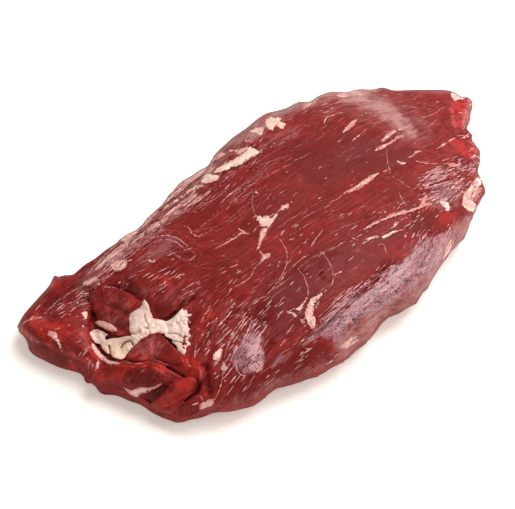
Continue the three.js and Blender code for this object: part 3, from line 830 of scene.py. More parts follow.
# Fat that lies in the flesh: how far the middle stands out of the flesh, in mm, how much of it is holes,
# how rosy and how yellow it is, from 0 to 1, then its outline
FLUSH_FAT = {
    "far blob": (0.8, 0.15, 0.15, 0.0, 200,182, 202,178, 205,175, 210,173, 216,174, 221,177, 217,181, 211,182,
        207,184, 202,184),
    "far bar": (0.9, 0.1, 0.05, 0.35, 213,173, 214,169, 225,163.5, 235,159, 241,154.5, 246,150, 250,146,
        253,148, 258,150.5, 264,151, 257,155.5, 250,158.5, 245,162, 239,166.5, 233,167, 222,172.5, 217,174),
    "far rim cord": (0.35, 0.2, 0.3, 0.25, 160,209, 168,203.5, 176,198.5, 184,192.5, 190,188, 196,184.5,
        203,183.5, 206,186, 199,188.5, 193,191, 187,195, 179,201, 170,207, 163,211),
    "far bar top": (0.3, 0.3, 0.25, 0.3, 223,149, 231,149.5, 240,149, 248,145.5, 254,142.5, 252,146, 246,150,
        241,154, 236,153.5, 230,152),
    "far bar tail": (0.2, 0.8, 0.6, 0.0, 262,149, 267,145, 274,141, 279,140, 276,144, 270,148, 265,151),
    "far rim patch": (0.2, 0.25, 0.45, 0.2, 203,163, 209,158, 216,154, 222,151.5, 228,152.5, 224,157,
        215,160.5, 207,164),
    "far rim smear": (0.1, 0.7, 0.6, 0.0, 150,212, 156,206, 162,202, 164,206, 158,212, 152,217),
    "far spot": (0.2, 0.4, 0.5, 0.0, 227,172, 230,170, 234,170, 232,173, 229,174),
    "upper lump": (0.4, 0.12, 0.2, 0.3, 247,131, 251,129, 255,127, 259,127.5, 262,127, 265,129.5, 263,132,
        262.5,136, 258,135, 255,133.5, 250,133.5),
    "upper cloud": (0.3, 0.12, 0.1, 0.35, 264,124, 266,119, 270,116.5, 274,118, 277,116.5, 281.5,118.5,
        279.5,121, 284,122, 287,124, 283.5,125.5, 284,129, 280,128.5, 277,125.5, 274.5,127, 273.5,131,
        269,130, 266,128.5),
    "upper crumbs": (0.1, 0.9, 0.5, 0.0, 244,141, 250,137, 258,137, 266,135, 270,138, 260,141, 252,144,
        246,145),
    "crest lump": (0.2, 0.35, 0.5, 0.0, 299,108, 304,104, 309,100, 316,97, 320,99, 315,105, 308,108, 303,110),
    "star": (0.5, 0.35, 0.15, 0.0, 255,217, 258,215, 263,217, 268,215, 272,218, 275,213, 279,214, 276,219,
        273,223, 269,228, 265,228, 261,227, 258,222),
    "star leg": (0.3, 0.25, 0.4, 0.0, 274,221, 271,227, 267,232, 265,238, 262,243, 260,250, 256,251, 257,244,
        259,238, 259,230, 263,228, 268,227),
    "star foot": (0.3, 0.25, 0.5, 0.0, 258,250, 261,250, 264,254, 268,252, 271,252, 270,258, 265,261, 258,266,
        259,261, 262,257),
    "star arm": (0.3, 0.2, 0.4, 0.0, 279,211, 281,206, 285,203, 290,204, 289,208, 284,210, 280,213),
    "star veil": (0.0, 1.0, 1.0, 0.0, 287,205, 290,200, 296,200, 300,203, 294,207),
    "second star": (0.08, 0.26, 0.25, 0.15, 307,302, 310,298, 316,295, 323,291, 330,286.5, 325,292.5, 320,298,
        317,303, 314.5,308, 313,313, 316,318, 317,323, 313.5,331, 309,326, 305,319, 304,312),
    "second star flake": (0.1, 0.5, 0.5, 0.0, 314.5,308, 317,303.5, 321,299, 320,304, 317,308.5),
    "second star arm": (0.25, 0.15, 0.35, 0.0, 291,309.5, 296,307, 300,304.5, 304,300.5, 307,296.5, 307.5,300,
        303,306, 301,312, 296,310.5),
    "second star toe": (0.25, 0.15, 0.4, 0.0, 283,310.5, 289,310.5, 296,313, 299,316, 296,318.5, 293,315.5,
        288,313),
    "second star foot": (0.2, 0.3, 0.65, 0.0, 299,319, 303,319, 306,321, 307.5,328, 303,325.5),
    "cluster left": (0.3, 0.12, 0.45, 0.0, 373,151, 377,147.5, 383,144, 391,140, 401,136.5, 397,140, 389,145,
        383,149.5, 377,152),
    "cluster right": (0.3, 0.12, 0.45, 0.0, 380,141, 384,136, 390,131.5, 399,128, 413,124, 407,128, 401,131.5,
        394,134, 388,139.5, 383,143),
    "cluster sliver": (0.2, 0.2, 0.5, 0.0, 388,142, 393,138, 401,134, 406,135.5, 400,138, 393,142),
    "spindle": (0.3, 0.15, 0.5, 0.0, 344,193, 352,187, 361,181, 370,175, 378,171, 380,174, 374,179, 366,185,
        358,190, 350,193),
    "leaf": (0.2, 0.1, 0.35, 0.0, 341,135, 344,129, 349,123, 355,119, 358,119.5, 353,126, 347,131.5),
    "broad corner": (0.5, 0.3, 0.15, 0.0, 448,93, 451,89, 458,88, 465,91, 467,96, 462,101, 453,101),
    "broad edge top": (0.1, 0.5, 0.7, 0.0, 466,97, 470,98, 475,106, 475,120, 471,130, 469,122, 471,110),
    "broad step": (0.3, 0.5, 0.4, 0.0, 458,141, 463,136, 470,131, 475,131, 471,137, 464,141),
    "broad flag": (0.5, 0.3, 0.15, 0.0, 437,201, 442,199, 447,199, 450,204, 450,211, 446,212, 443,206),
    "broad wedge": (0.3, 0.4, 0.3, 0.0, 420,205, 421,200, 424,196, 431,192, 428,197, 425,202),
    "broad bar": (0.2, 0.2, 0.5, 0.0, 448,166, 449,163, 456,162, 463,162, 461,166, 454,168),
    "broad block": (0.1, 0.6, 0.6, 0.0, 434,199, 437,195, 442,192, 448,190, 446,195, 440,199),
    "broad knob": (0.8, 0.1, 0.4, 0.0, 461,203, 464,200, 470,198.5, 475,202, 477,207, 477,212, 473,213.5,
        468,211.5, 463,208),
    "broad rim": (0.35, 0.12, 0.45, 0.0, 480,173, 483,174, 483,182, 482.5,186, 476,187, 472.5,192.5, 471,200,
        470,204, 463,206, 461,202, 463,194, 467,188, 471,183, 476,177),
    "broad rim crumbs": (0.1, 0.75, 0.8, 0.0, 476,187, 483,186, 484,196, 479,204, 472,200, 472,193),
    "great streak": (0.35, 0.2, 0.5, 0.0, 360,231, 366,225.5, 376,220.5, 386,215.5, 395,212.5, 406,209.5,
        414,207.5, 420,204.5, 421,200.5, 426,195.5, 430,196, 424,203, 436,201.5, 437,204.5, 423,208,
        412,212.5, 401,215.5, 392,218, 386,219.5, 376,224.5, 368,229),
    "broad rim top": (0.0, 0.9, 0.8, 0.0, 466,170, 472,160, 479,152, 482,158, 478,168, 470,180),
    "shoulder": (0.6, 0.3, 0.15, 0.0, 212,361, 212,355, 215,350, 220,347, 224,349, 222,356, 217,361),
    "seam knot": (0.4, 0.4, 0.2, 0.0, 222,360, 226,361, 228,368, 226,374, 222,374, 220,367),
    "corner patch": (0.3, 0.25, 0.4, 0.0, 199,413, 199,404, 206,400, 213,398, 215,403, 213,407, 222,406,
        215,413, 206,417, 197,418, 191,416),
    "cut face fat": (0.3, 0.1, 0.35, 0.0, 47,335, 48,330, 53,331, 58,333, 58,338, 61,342, 63,347, 60,349,
        56,343, 52,338),
    "far small": (0.5, 0.3, 0.15, 0.0, 81,285, 84,281, 90,278, 95,277, 99,275, 98,280, 92,284, 86,286),
    "far rim band": (0.1, 0.5, 0.6, 0.0, 153,209, 157,211, 150,218, 143,224, 137,229, 131,235, 124,240,
        117,243, 120,238, 128,232, 136,225, 145,216),
    "pocket veil": (0.0, 0.9, 0.7, 0.0, 112,270, 118,265, 126,260, 135,257, 131,263, 123,268, 116,272),
}
FRONT_STRIP = {
    "front strip": dict(stand=0.4, sink=4.0, dome=0.6, rounds=1, rose=0.8, crumb=0.2, crumb_size=3.0,
        outline=(121,384, 126,388, 131,390, 136,388, 141,386, 147,388, 154,386, 160,383, 164,381, 160,386,
        153,390, 146,393, 140,394, 138,398, 132,396, 127,392)),
}

# Threads of fat and sinew, some of which paint glints: width in pixels, then the path
FAT_THREADS = {
    "folds and lips": (
        (2.8, 134,241, 141,237, 150,231, 156,227, 163,222, 170,215, 176,212, 184,210, 192,208),
        (1.4, 196,207, 204,204, 213,200, 222,195), (4.0, 134,228, 146,217, 156,210, 163,208),
        (1.4, 80,311, 88,309, 95,311, 100,316, 103,320), (1.4, 104,287, 112,287, 120,290, 128,294, 138,299),
        (2.2, 92,280, 100,275, 106,271, 113,264, 120,259), (1.0, 60,300, 68,294, 78,288, 88,284),
        (2.0, 19,330, 22,325, 27,321, 34,319, 41,318, 47,318)),
    "arcs on the hump": (
        (1.0, 147,259, 151,255, 158,252, 166,250), (2.6, 148,260, 152,262, 155,260),
        (4.0, 114,268, 120,267, 127,262, 132,260),
        (1.8, 183,226, 188,227, 190,230, 192,233, 196,236, 200,236, 203,234)),
    "middle streaks": (
        (2.0, 218,205, 228,196, 237,189, 245,183), (1.2, 206,201, 214,196, 218,192),
        (2.4, 215,249, 224,244, 231,240, 238,236, 243,232), (4.6, 238,236, 242,233, 246,234),
        (2.2, 238,228, 242,231, 249,234), (1.8, 253,232, 257,227, 261,225), (2.6, 280,236, 283,232, 287,229),
        (1.4, 291,228, 296,224), (1.6, 267,201, 269,196, 271,193), (1.2, 292,197, 297,192)),
    "star threads": (
        (1.6, 275,216, 278,212, 282,208),
        (1.5, 260,263, 255,268, 252,274, 248,279, 242,283, 236,286, 228,290)),
    "top streaks": (
        (1.8, 324,125, 326,118, 333,115, 340,113, 347,112), (1.8, 301,106, 309,104, 317,99),
        (2.0, 330,109, 334,107), (1.8, 351,142, 358,136, 367,129), (1.5, 374,109, 380,110, 386,112),
        (1.5, 382,121, 389,116), (1.2, 422,118, 430,115, 437,112, 443,107), (1.0, 428,127, 436,121)),
    "broad streaks": (
        (3.0, 436,149, 443,145, 449,141, 455,138), (2.8, 408,158, 413,155, 419,151),
        (4.4, 414,153, 418,151, 421,151), (3.0, 416,161, 424,163, 430,164, 438,163),
        (4.2, 397,161, 401,163, 406,163)),
    "long streaks": (
        (1.6, 328,204, 338,198, 348,191, 358,186), (3.8, 352,238, 358,240), (3.4, 365,239, 371,238, 377,235),
        (4.2, 381,238, 388,235, 394,232, 403,229), (3.6, 393,228, 396,224, 401,220, 407,217),
        (1.3, 377,245, 382,244, 385,248, 386,254)),
    "veins": (
        (1.5, 280,239, 284,246, 287,254, 287,262, 285,268, 281,277, 275,285),
        (1.3, 321,251, 325,256, 329,262, 332,268, 333,276), (1.1, 334,277, 333,281, 331,285, 328,289),
        (2.4, 334,277, 336,274, 342,271), (2.4, 320,252, 325,254), (1.0, 326,252, 336,247, 345,241),
        (1.3, 299,270, 303,275, 306,282, 308,290, 308,297, 303,303),
        (0.9, 387,148, 387,158, 389,168, 392,176, 400,181, 410,188), (0.9, 398,192, 402,199, 407,206),
        (0.9, 253,195, 252,203, 254,212, 256,217)),
    "seam": (
        (1.8, 287,271, 281,280, 272,289, 266,296), (1.2, 284,281, 278,286, 272,290),
        (2.2, 266,296, 261,298, 255,300, 252,303),
        (1.5, 250,308, 244,316, 238,325, 232,334, 227,346, 225,356, 224,362),
        (1.6, 223,371, 222,380, 219,390, 215,400, 213,405)),
    "spikes": (
        (2.0, 315,308, 317,304, 319,301), (2.4, 219,327, 222,322, 226,318, 232,311),
        (1.3, 216,343, 220,337, 224,331), (1.4, 203,317, 207,312, 211,309), (1.2, 225,306, 228,301),
        (1.3, 250,294, 255,290), (1.2, 279,304, 283,297), (1.2, 277,319, 280,315),
        (1.6, 240,331, 246,323, 252,316), (1.3, 262,332, 267,326), (1.2, 286,335, 291,328, 294,324),
        (1.4, 280,346, 285,340), (1.4, 297,339, 302,333), (1.3, 311,335, 318,329, 323,324),
        (1.3, 323,313, 331,305, 338,297, 345,290), (1.1, 324,316, 333,308, 340,300)),
    "rungs": (
        (1.0, 292,267, 300,260, 309,254), (1.4, 297,270, 304,264, 308,260), (2.0, 293,267, 297,263),
        (1.2, 302,219, 310,214, 316,211), (1.2, 328,202, 335,200), (1.2, 311,247, 315,240, 320,233, 323,229),
        (1.2, 338,219, 344,216)),
    "pocket glints": (
        (2.2, 157,293, 160,289, 163,285, 166,281), (1.8, 152,297, 155,293), (1.5, 173,278, 177,273),
        (1.4, 182,276, 185,274), (1.6, 178,299, 184,295), (1.2, 124,289, 127,285), (3.0, 117,284, 121,282),
        (1.4, 103,289, 107,286), (2.2, 159,279, 164,275, 170,271)),
    "cut end lips": (
        (1.6, 124,361, 129,363, 136,364, 143,363), (1.5, 152,357, 158,361, 163,363, 169,365),
        (1.4, 170,369, 175,371, 182,375), (1.8, 177,373, 182,375)),
    "corner glints": (
        (2.2, 185,386, 191,390), (1.8, 188,365, 192,367), (1.2, 201,384, 206,387, 214,391),
        (1.2, 199,395, 203,400), (1.4, 203,371, 206,364), (1.4, 152,352, 154,347, 155,343),
        (1.8, 195,358, 195,350, 197,345)),
    "cut flecks": (
        (1.6, 60,346, 62,351, 66,355), (1.6, 40,329, 43,331), (1.6, 70,324, 67,327),
        (3.0, 82,326, 85,327, 88,325), (3.0, 68,315, 71,314), (1.4, 60,318, 65,314), (1.8, 69,359, 72,363)),
    "spots": (
        (3.0, 255,192, 258,194), (2.0, 221,256, 225,256), (2.2, 236,261, 239,261),
        (1.6, 303,346, 307,349, 310,349)),
    "broad end": (
        (2.4, 461,139, 466,136, 471,132), (3.0, 470,158, 476,156, 480,161), (1.6, 452,224, 446,236, 444,246)),
}


# Wet pale strands of muscle, partly light sinew and partly painted highlights on wet ridges, and dark
# cords that paint the shade in the gaps between strands: width in pixels, then the path
PALE_STRANDS = {
    "far folds": (
        (3.0, 129,238, 127,246, 121,252, 115,257, 108,267), (2.0, 120,250, 112,259, 105,268, 99,275),
        (1.4, 134,241, 130,248, 124,252, 118,257, 110,266), (3.4, 174,216, 180,213, 190,211),
        (1.6, 150,238, 161,236, 170,236, 179,239, 186,245, 192,250),
        (1.3, 152,243, 162,240, 171,240, 178,243, 184,249),
        (1.6, 52,305, 58,301, 63,298, 69,293, 76,290, 82,287), (1.3, 50,314, 58,309, 66,305, 75,302)),
    "side": (
        (3.0, 230,363, 233,355, 237,348, 243,339, 248,331, 252,320),
        (2.8, 239,350, 244,341, 249,334, 254,326, 258,320), (2.6, 247,342, 253,334, 259,327, 266,321),
        (2.4, 252,345, 258,337, 263,331, 267,325), (1.4, 237,362, 237,369, 241,375, 246,376),
        (2.2, 225,352, 230,341, 236,333, 243,322, 250,312)),
    "near band": (
        (2.0, 323,314, 333,304, 343,295, 352,287), (1.8, 352,296, 362,287, 371,280, 380,270, 388,262),
        (1.6, 372,288, 382,278, 391,268, 400,260), (1.4, 336,318, 346,309, 356,300)),
    "broad stripes": (
        (3.6, 423,178, 429,176, 434,174, 439,171), (1.6, 446,173, 450,170, 455,169),
        (2.4, 447,176, 453,174, 460,171, 467,170, 475,169), (2.2, 430,185, 435,182, 440,180, 446,178),
        (2.8, 424,189, 429,188, 435,186, 440,184, 445,183, 450,181), (1.8, 454,184, 459,181, 465,178),
        (1.6, 453,190, 459,187, 463,185), (2.2, 452,199, 457,196, 463,192), (2.0, 430,171, 434,169, 437,169)),
    "steep end": (
        (2.2, 411,239, 413,236, 415,233), (1.8, 421,242, 423,238, 425,235), (2.0, 404,238, 406,234),
        (2.6, 446,262, 449,252, 452,244, 455,237)),
}
SHADE_STRANDS = {
    "near band": (
        (1.6, 308,338, 320,327, 330,320, 340,310, 350,300, 362,291, 373,282, 383,272, 393,262, 398,256),
        (1.3, 320,319, 333,307, 343,298, 358,287, 368,279), (1.2, 372,278, 380,269, 387,261),
        (1.2, 390,277, 398,267, 405,260)),
    "cracks": (
        (1.2, 387,281, 392,287, 397,293), (1.0, 380,297, 383,303), (1.4, 350,312, 353,320, 357,317, 363,313),
        (1.2, 352,320, 357,324, 361,322), (1.1, 362,306, 370,298), (1.2, 244,361, 250,357, 257,352, 261,344),
        (1.0, 251,360, 257,363, 262,368), (1.0, 248,366, 254,362, 262,360)),
    "steep end": (
        (1.6, 419,247, 422,242, 425,238), (1.4, 439,238, 440,231), (1.2, 430,246, 432,238),
        (1.2, 412,243, 416,236), (1.2, 425,256, 430,250), (1.8, 441,248, 443,245)),
    "broad stripes": (
        (1.5, 431,181, 438,177, 445,174, 452,171, 459,168), (1.4, 436,184, 443,181, 449,178, 456,176),
        (1.3, 422,182, 428,181), (1.6, 424,191, 431,190, 437,190, 443,188), (1.6, 446,197, 449,192),
        (2.0, 461,209, 463,213, 462,217)),
    "far folds": (
        (1.6, 150,236, 143,232, 139,233, 133,238), (1.6, 172,221, 164,226, 156,231, 149,236),
        (1.6, 196,196, 186,202, 176,206, 166,211), (1.4, 132,244, 124,250, 116,257, 107,265, 99,272),
        (2.2, 43,306, 52,299, 61,295, 70,289, 77,283), (1.6, 48,309, 56,305, 64,301, 71,297)),
    "beside fat": (
        (1.4, 216,175, 225,172, 232,169, 240,167), (1.4, 212,168, 220,163, 228,158, 236,155),
        (1.8, 372,153, 379,149, 386,143, 394,138, 404,131), (1.4, 384,146, 391,142, 397,139),
        (1.0, 291,310, 296,311, 301,312), (1.0, 317,303, 313,310, 314,316),
        (1.2, 362,233, 372,227, 384,221, 396,217, 410,213),
        (1.2, 356,241, 366,242, 377,239, 390,236, 402,231),
        (1.4, 214,175, 224,174, 235,169, 244,164, 253,158),
        (1.2, 160,212, 170,208, 180,202, 190,194, 200,190), (1.6, 112,286, 119,288, 128,292, 138,298)),
    "seam": (
        (1.4, 226,349, 230,340, 236,330, 243,321, 250,312), (1.2, 263,352, 269,343, 277,335, 286,330),
        (1.0, 222,324, 226,320, 233,313), (1.0, 282,348, 288,341)),
}


# Strands that lie side by side: how wide they spread, how many light ones and how many dark cords of
# painted shade, the width of the light ones, then the path
CREAM_FAMILIES = (
    (16, 6, 0, 1.3, 84,288, 110,266, 134,244, 158,224, 182,206),
    (8, 5, 0, 1.5, 72,284, 100,258, 130,232, 160,206, 188,182, 212,163),
    (28, 9, 0, 1.8, 420,198, 438,188, 456,178, 474,166),
    (14, 4, 0, 1.1, 300,118, 330,102, 372,98),
    (13, 5, 0, 2.2, 416,205, 432,197, 448,188),
)
PALE_FAMILIES = (
    (18, 8, 16, 1.2, 84,288, 110,266, 134,244, 158,224, 182,206),
    (9, 6, 14, 1.3, 72,284, 100,258, 130,232, 160,206, 188,182, 212,163),
    (16, 5, 8, 1.0, 48,318, 62,308, 80,298, 96,289),
    (30, 12, 16, 1.9, 416,192, 436,184, 455,176, 472,167),
    (10, 5, 5, 1.5, 320,324, 340,304, 362,285, 386,264),
)
PINK_FAMILIES = (
    (26, 12, 9, 0.9, 140,262, 155,247, 170,242, 185,248, 205,256, 230,250, 250,238),
    (44, 9, 12, 1.0, 190,352, 200,330, 214,308, 228,292),
    (54, 7, 12, 0.9, 280,252, 310,232, 340,215, 384,198),
    (18, 6, 5, 1.5, 236,174, 258,160, 284,148, 312,134),
    (16, 7, 6, 1.8, 174,214, 200,194, 224,178, 248,165),
    (66, 3, 8, 0.9, 286,172, 320,150, 350,132, 384,116),
    (46, 6, 10, 0.9, 228,214, 256,190, 290,165),
    (40, 7, 8, 1.0, 404,130, 424,120, 444,108),
    (40, 9, 12, 1.0, 262,392, 286,372, 312,352, 344,330),
    (50, 8, 10, 0.9, 246,300, 268,282, 296,262),
    (26, 5, 8, 0.9, 240,172, 262,158, 290,142),
    (36, 18, 18, 1.4, 182,218, 212,196, 240,176, 270,156, 302,138),
    (24, 8, 9, 1.2, 196,236, 224,214, 252,192, 276,176),
    (18, 5, 5, 0.9, 40,330, 60,336, 80,346, 96,358),
)


# Materials
class Wire:
    """A socket of a material. Arithmetic on it adds Math nodes."""

    def __init__(self, finish, socket):
        self.finish = finish
        self.socket = socket

    def maths(self, operation, *others):
        inputs = dict(enumerate((self,) + others))
        return self.finish.node("ShaderNodeMath", {"operation": operation}, inputs)

    def __add__(self, other):
        return self.maths("ADD", other)

    def __sub__(self, other):
        return self.maths("SUBTRACT", other)

    def __rsub__(self, other):
        return (self * -1) + other

    def __mul__(self, other):
        return self.maths("MULTIPLY", other)

    __radd__ = __add__
    __rmul__ = __mul__

    def between(self, low, high):
        """0 below low, 1 above high, and a soft step between them."""
        settings = {"interpolation_type": "SMOOTHSTEP"}
        return self.finish.node("ShaderNodeMapRange", settings,
                                {"Value": self, "From Min": low, "From Max": high})


class Finish:
    """A material, built node by node."""

    def __init__(self, name):
        self.material = bpy.data.materials.new(name)
        self.material.use_nodes = True
        self.nodes = self.material.node_tree.nodes
        self.links = self.material.node_tree.links
        self.nodes.clear()

    def node(self, kind, settings=None, inputs=None, output=0):
        made = self.nodes.new(kind)
        for name, value in (settings or {}).items():
            setattr(made, name, value)
        for name, value in (inputs or {}).items():
            if isinstance(value, Wire):
                self.links.new(value.socket, made.inputs[name])
            else:
                made.inputs[name].default_value = value
        return Wire(self, made.outputs[output])

    def mark(self, name):
        return self.node("ShaderNodeAttribute", {"attribute_name": name}, output="Fac")

    def parts(self, vector):
        split = self.node("ShaderNodeSeparateXYZ", inputs={0: vector})
        return [Wire(self, socket) for socket in split.socket.node.outputs]

    def joined(self, x, y, z=0.0):
        return self.node("ShaderNodeCombineXYZ", inputs={0: x, 1: y, 2: z})

    def noise(self, vector, scale=1.0, detail=2.0, roughness=0.5):
        return self.node("ShaderNodeTexNoise", None,
                         {"Vector": vector, "Scale": scale, "Detail": detail, "Roughness": roughness})

    def mixed(self, share, first, second):
        """Two colours mixed by a share."""
        return self.node("ShaderNodeMix", {"data_type": "RGBA"}, {0: share, 6: first, 7: second}, 2)

    def bump(self, height, strength, distance):
        inputs = {"Height": height, "Strength": strength, "Distance": distance}
        return self.node("ShaderNodeBump", None, inputs)

    def surface(self, **inputs):
        shader = self.node("ShaderNodeBsdfPrincipled", None,
                           {name.replace("_", " "): value for name, value in inputs.items()})
        end = self.nodes.new("ShaderNodeOutputMaterial")
        self.links.new(shader.socket, end.inputs["Surface"])
        return self.material


def tone(red, green, blue):
    return (red, green, blue, 1.0)


DEEP_RED = tone(0.150, 0.009, 0.008)
LEAN_RED = tone(0.290, 0.020, 0.018)
SHADE_RED = tone(0.095, 0.005, 0.004)
PALE_FIBRE = tone(0.410, 0.085, 0.078)
GLINT = tone(0.620, 0.250, 0.230)
CUT_RED = tone(0.220, 0.009, 0.007)
FRESH_RED = tone(0.450, 0.025, 0.019)
BRIGHT_RED = tone(0.470, 0.026, 0.024)
# Dark brown for dry muscle, and for painted shade in creases and on shaded faces
DRY_AND_SHADE_BROWN = tone(0.048, 0.005, 0.004)
MEMBRANE = tone(0.350, 0.128, 0.124)
SILVER = tone(0.550, 0.375, 0.335)
# Greyish pink for painted sheen
PAINTED_SHEEN = tone(0.580, 0.320, 0.290)
# Tones of the wet membrane: its own lilac colour, the lighter ones partly a painted highlight of the wet film
WET_DARK = tone(0.105, 0.030, 0.032)
WET_PALE = tone(0.390, 0.155, 0.175)
WET_LIGHT = tone(0.480, 0.215, 0.240)
WET_CRACK = tone(0.075, 0.014, 0.014)
# Pale lilac for painted glints
PALE_LILAC = tone(0.640, 0.320, 0.325)
CREAM = tone(0.740, 0.430, 0.375)
FAT_CREAM = tone(0.820, 0.610, 0.515)
FAT_ROSE = tone(0.640, 0.250, 0.215)
RAW_PINK = tone(0.470, 0.120, 0.105)
FAT_YELLOW = tone(0.900, 0.660, 0.445)
FAT_SHADE = tone(0.500, 0.280, 0.220)


def muscle_finish(name):
    f = Finish(name)
    u, v, _ = f.parts(f.node("ShaderNodeUVMap", {"uv_map": "fibres"}))
    place = f.node("ShaderNodeTexCoord", output="Object")
    fresh, dark, membrane_and_sheen = f.mark("fresh"), f.mark("dark"), f.mark("membrane_and_sheen")
    wet, cream, bright, cut = f.mark("wet"), f.mark("cream"), f.mark("bright"), f.mark("cut")
    painted_shade, painted_glint, painted_sheen = f.mark("painted_shade"), f.mark("painted_glint"), f.mark("painted_sheen")

    wander = f.noise(f.joined(u * 0.020, v * 0.030), detail=1.0) - 0.5
    bent = v + wander * 5.0

    def strand_noise(along, across, seed, roughness=0.6, detail=2.0):
        return f.noise(f.joined(u * along, bent * across, seed), detail=detail, roughness=roughness)

    threads = strand_noise(0.060, 0.55, 9.0, 0.55, 3.0)
    hairs = strand_noise(0.160, 1.40, 2.0)
    specks = f.noise(place, 750.0, 3.0, 0.6)
    patches = f.noise(place, 130.0, 3.0)
    blotches = f.noise(place, 34.0, 3.0)
    shaded_grooves = strand_noise(0.22, 1.60, 5.0, 0.65)

    fibres = threads * 0.30 + hairs * 0.12 + specks * 0.20 + patches * 0.38
    ends = specks * 0.20 + patches * 0.80
    weave = fibres + (ends - fibres) * cut
    lean = f.mixed(weave.between(0.38, 0.60), DEEP_RED, LEAN_RED)
    lean = f.mixed((blotches * 0.6 + patches * 0.4).between(0.48, 0.62) * 0.6, lean, DEEP_RED)
    reds = f.mixed(weave.between(0.40, 0.60), CUT_RED, FRESH_RED)
    lean = f.mixed((fresh + (patches - 0.5) * 0.8).between(0.15, 0.70), lean, reds)
    lean = f.mixed((bright * 0.7 + (patches - 0.5) * 2.2 + (threads - 0.5) * 1.6).between(0.25, 0.80)
                   * bright.between(0.05, 0.50), lean, BRIGHT_RED)
    # Dark muscle: partly dry brown, partly painted shade in creases and hollows
    browns = f.mixed(weave.between(0.42, 0.64), DRY_AND_SHADE_BROWN, DEEP_RED)
    lean = f.mixed((dark + (patches - 0.5) * 0.7).between(0.20, 0.90) * 0.9, lean, browns)
    # Painted shade: wide stretches darkened toward the darkest red
    lean = f.mixed((painted_shade + (patches - 0.5) * 0.6 + (threads - 0.5) * 0.8).between(0.0, 1.0)
                   * painted_shade.between(0.0, 0.25), lean, SHADE_RED)
    lean = f.mixed(cut * specks.between(0.54, 0.70) * 0.30, lean, RAW_PINK)

    plain = 1.0 - (cut * 0.8).maths("MAXIMUM", dark).maths("MAXIMUM", painted_shade * 0.8)
    some = f.noise(f.joined(u * 0.030, v * 0.060, 23.0), detail=1.0)
    others = 1.0 - some
    # Painted shade in narrow gaps between the fibres, which the bump also sinks
    gaps = strand_noise(0.060, 0.60, 60.0)
    gaps = gaps.between(0.60, 0.70) * others.between(0.36, 0.56) * plain
    lean = f.mixed(gaps * 0.50, lean, SHADE_RED)
    wisps = strand_noise(0.055, 0.75, 40.0)
    wisps = wisps.between(0.58, 0.70) * some.between(0.36, 0.56) * plain
    lean = f.mixed(wisps * 0.50, lean, PALE_FIBRE)
    streaks = strand_noise(0.14, 1.6, 17.0, 0.5)
    lean = f.mixed(streaks.between(0.62, 0.72) * some.between(0.40, 0.60) * plain * 0.7, lean, GLINT)

    strands = threads * 0.5 + hairs * 0.5 - 0.5
    # Veil and silver: membrane tones, which near the broad far corner also paint a sheen
    veil = (membrane_and_sheen + strands * 1.6 + (patches - 0.5) * 0.5).between(0.10, 0.85)
    veil = veil * membrane_and_sheen.between(0.02, 0.20)
    lean = f.mixed(veil, lean, MEMBRANE)
    silver = ((membrane_and_sheen - 0.45).between(0.0, 0.4)
              * (strands * 0.6 + patches * 0.4 + 0.3).between(0.42, 0.68))
    lean = f.mixed(silver * 0.70, lean, SILVER)

    # The wet membrane: its lilac tone, lightened in part as a painted highlight, with dark crackle lines
    stripes = strand_noise(0.050, 0.45, 51.0)
    grains = f.noise(f.joined(u * 0.75, v * 1.30, 31.0), detail=2.0, roughness=0.7)
    skin = ((wet + (stripes - 0.5) * 0.8 + (grains - 0.5) * 0.5).between(0.12, 0.72)
            * wet.between(0.02, 0.20))
    tones = f.mixed((stripes * 0.6 + patches * 0.4).between(0.34, 0.66), WET_PALE, WET_LIGHT)
    tones = f.mixed(grains.between(0.37, 0.50), WET_DARK, tones)
    strayed = (threads - 0.5) * 0.8
    cells = f.node("ShaderNodeTexVoronoi", {"feature": "DISTANCE_TO_EDGE", "voronoi_dimensions": "2D"},
                   {"Vector": f.joined(u * 0.08 + strayed, bent * 0.50 + strayed), "Scale": 1.0})
    broken = f.noise(f.joined(u * 0.10, v * 0.16, 77.0), detail=1.0)
    cracks = (1.0 - cells.between(0.02, 0.10)) * broken.between(0.46, 0.60)
    tones = f.mixed(cracks * 0.85, tones, WET_CRACK)
    lean = f.mixed(skin * 0.92, lean, tones)
    # Painted glints: pale lilac highlights on the brightest wet places, and on pale strands and strokes
    lean = f.mixed((painted_glint + (grains - 0.5) * 0.7 + (threads - 0.5) * 0.8).between(0.15, 0.85)
                   * painted_glint.between(0.02, 0.20), lean, PALE_LILAC)
    # Painted shade along the fine grooves, which the bump also sinks
    lean = f.mixed(shaded_grooves.between(0.46, 0.66) * 0.42, lean, SHADE_RED)
    # Painted sheen: a greyish pink haze along the far top edge
    lean = f.mixed(painted_sheen * (threads * 0.5 + patches * 0.5).between(0.20, 0.62), lean, PAINTED_SHEEN)
    smear = ((cream + (threads - 0.5) * 1.2 + (specks - 0.5) * 0.6).between(0.30, 0.62)
             * cream.between(0.02, 0.20))
    colour = f.mixed(smear, lean, CREAM)

    relief = (threads * 0.5 + hairs * 0.25 + specks * 0.20 - gaps * 0.4 + wisps * 0.3
              + skin * grains * 1.0 - skin * cracks * 1.5 - shaded_grooves * 0.35)
    normal = f.bump(relief, 0.6, 0.0007)
    roughness = 0.42 - wet * 0.16 - fresh * 0.08 + specks * 0.12
    coat = wet * 0.60 + fresh * 0.16 + membrane_and_sheen * 0.12 + 0.02
    return f.surface(Base_Color=colour, Roughness=roughness, Normal=normal, Coat_Weight=coat,
                     Coat_Roughness=0.22, IOR=1.38, Specular_IOR_Level=0.15,
                     Subsurface_Weight=0.05, Subsurface_Radius=(0.9, 0.2, 0.12),
                     Subsurface_Scale=0.002)


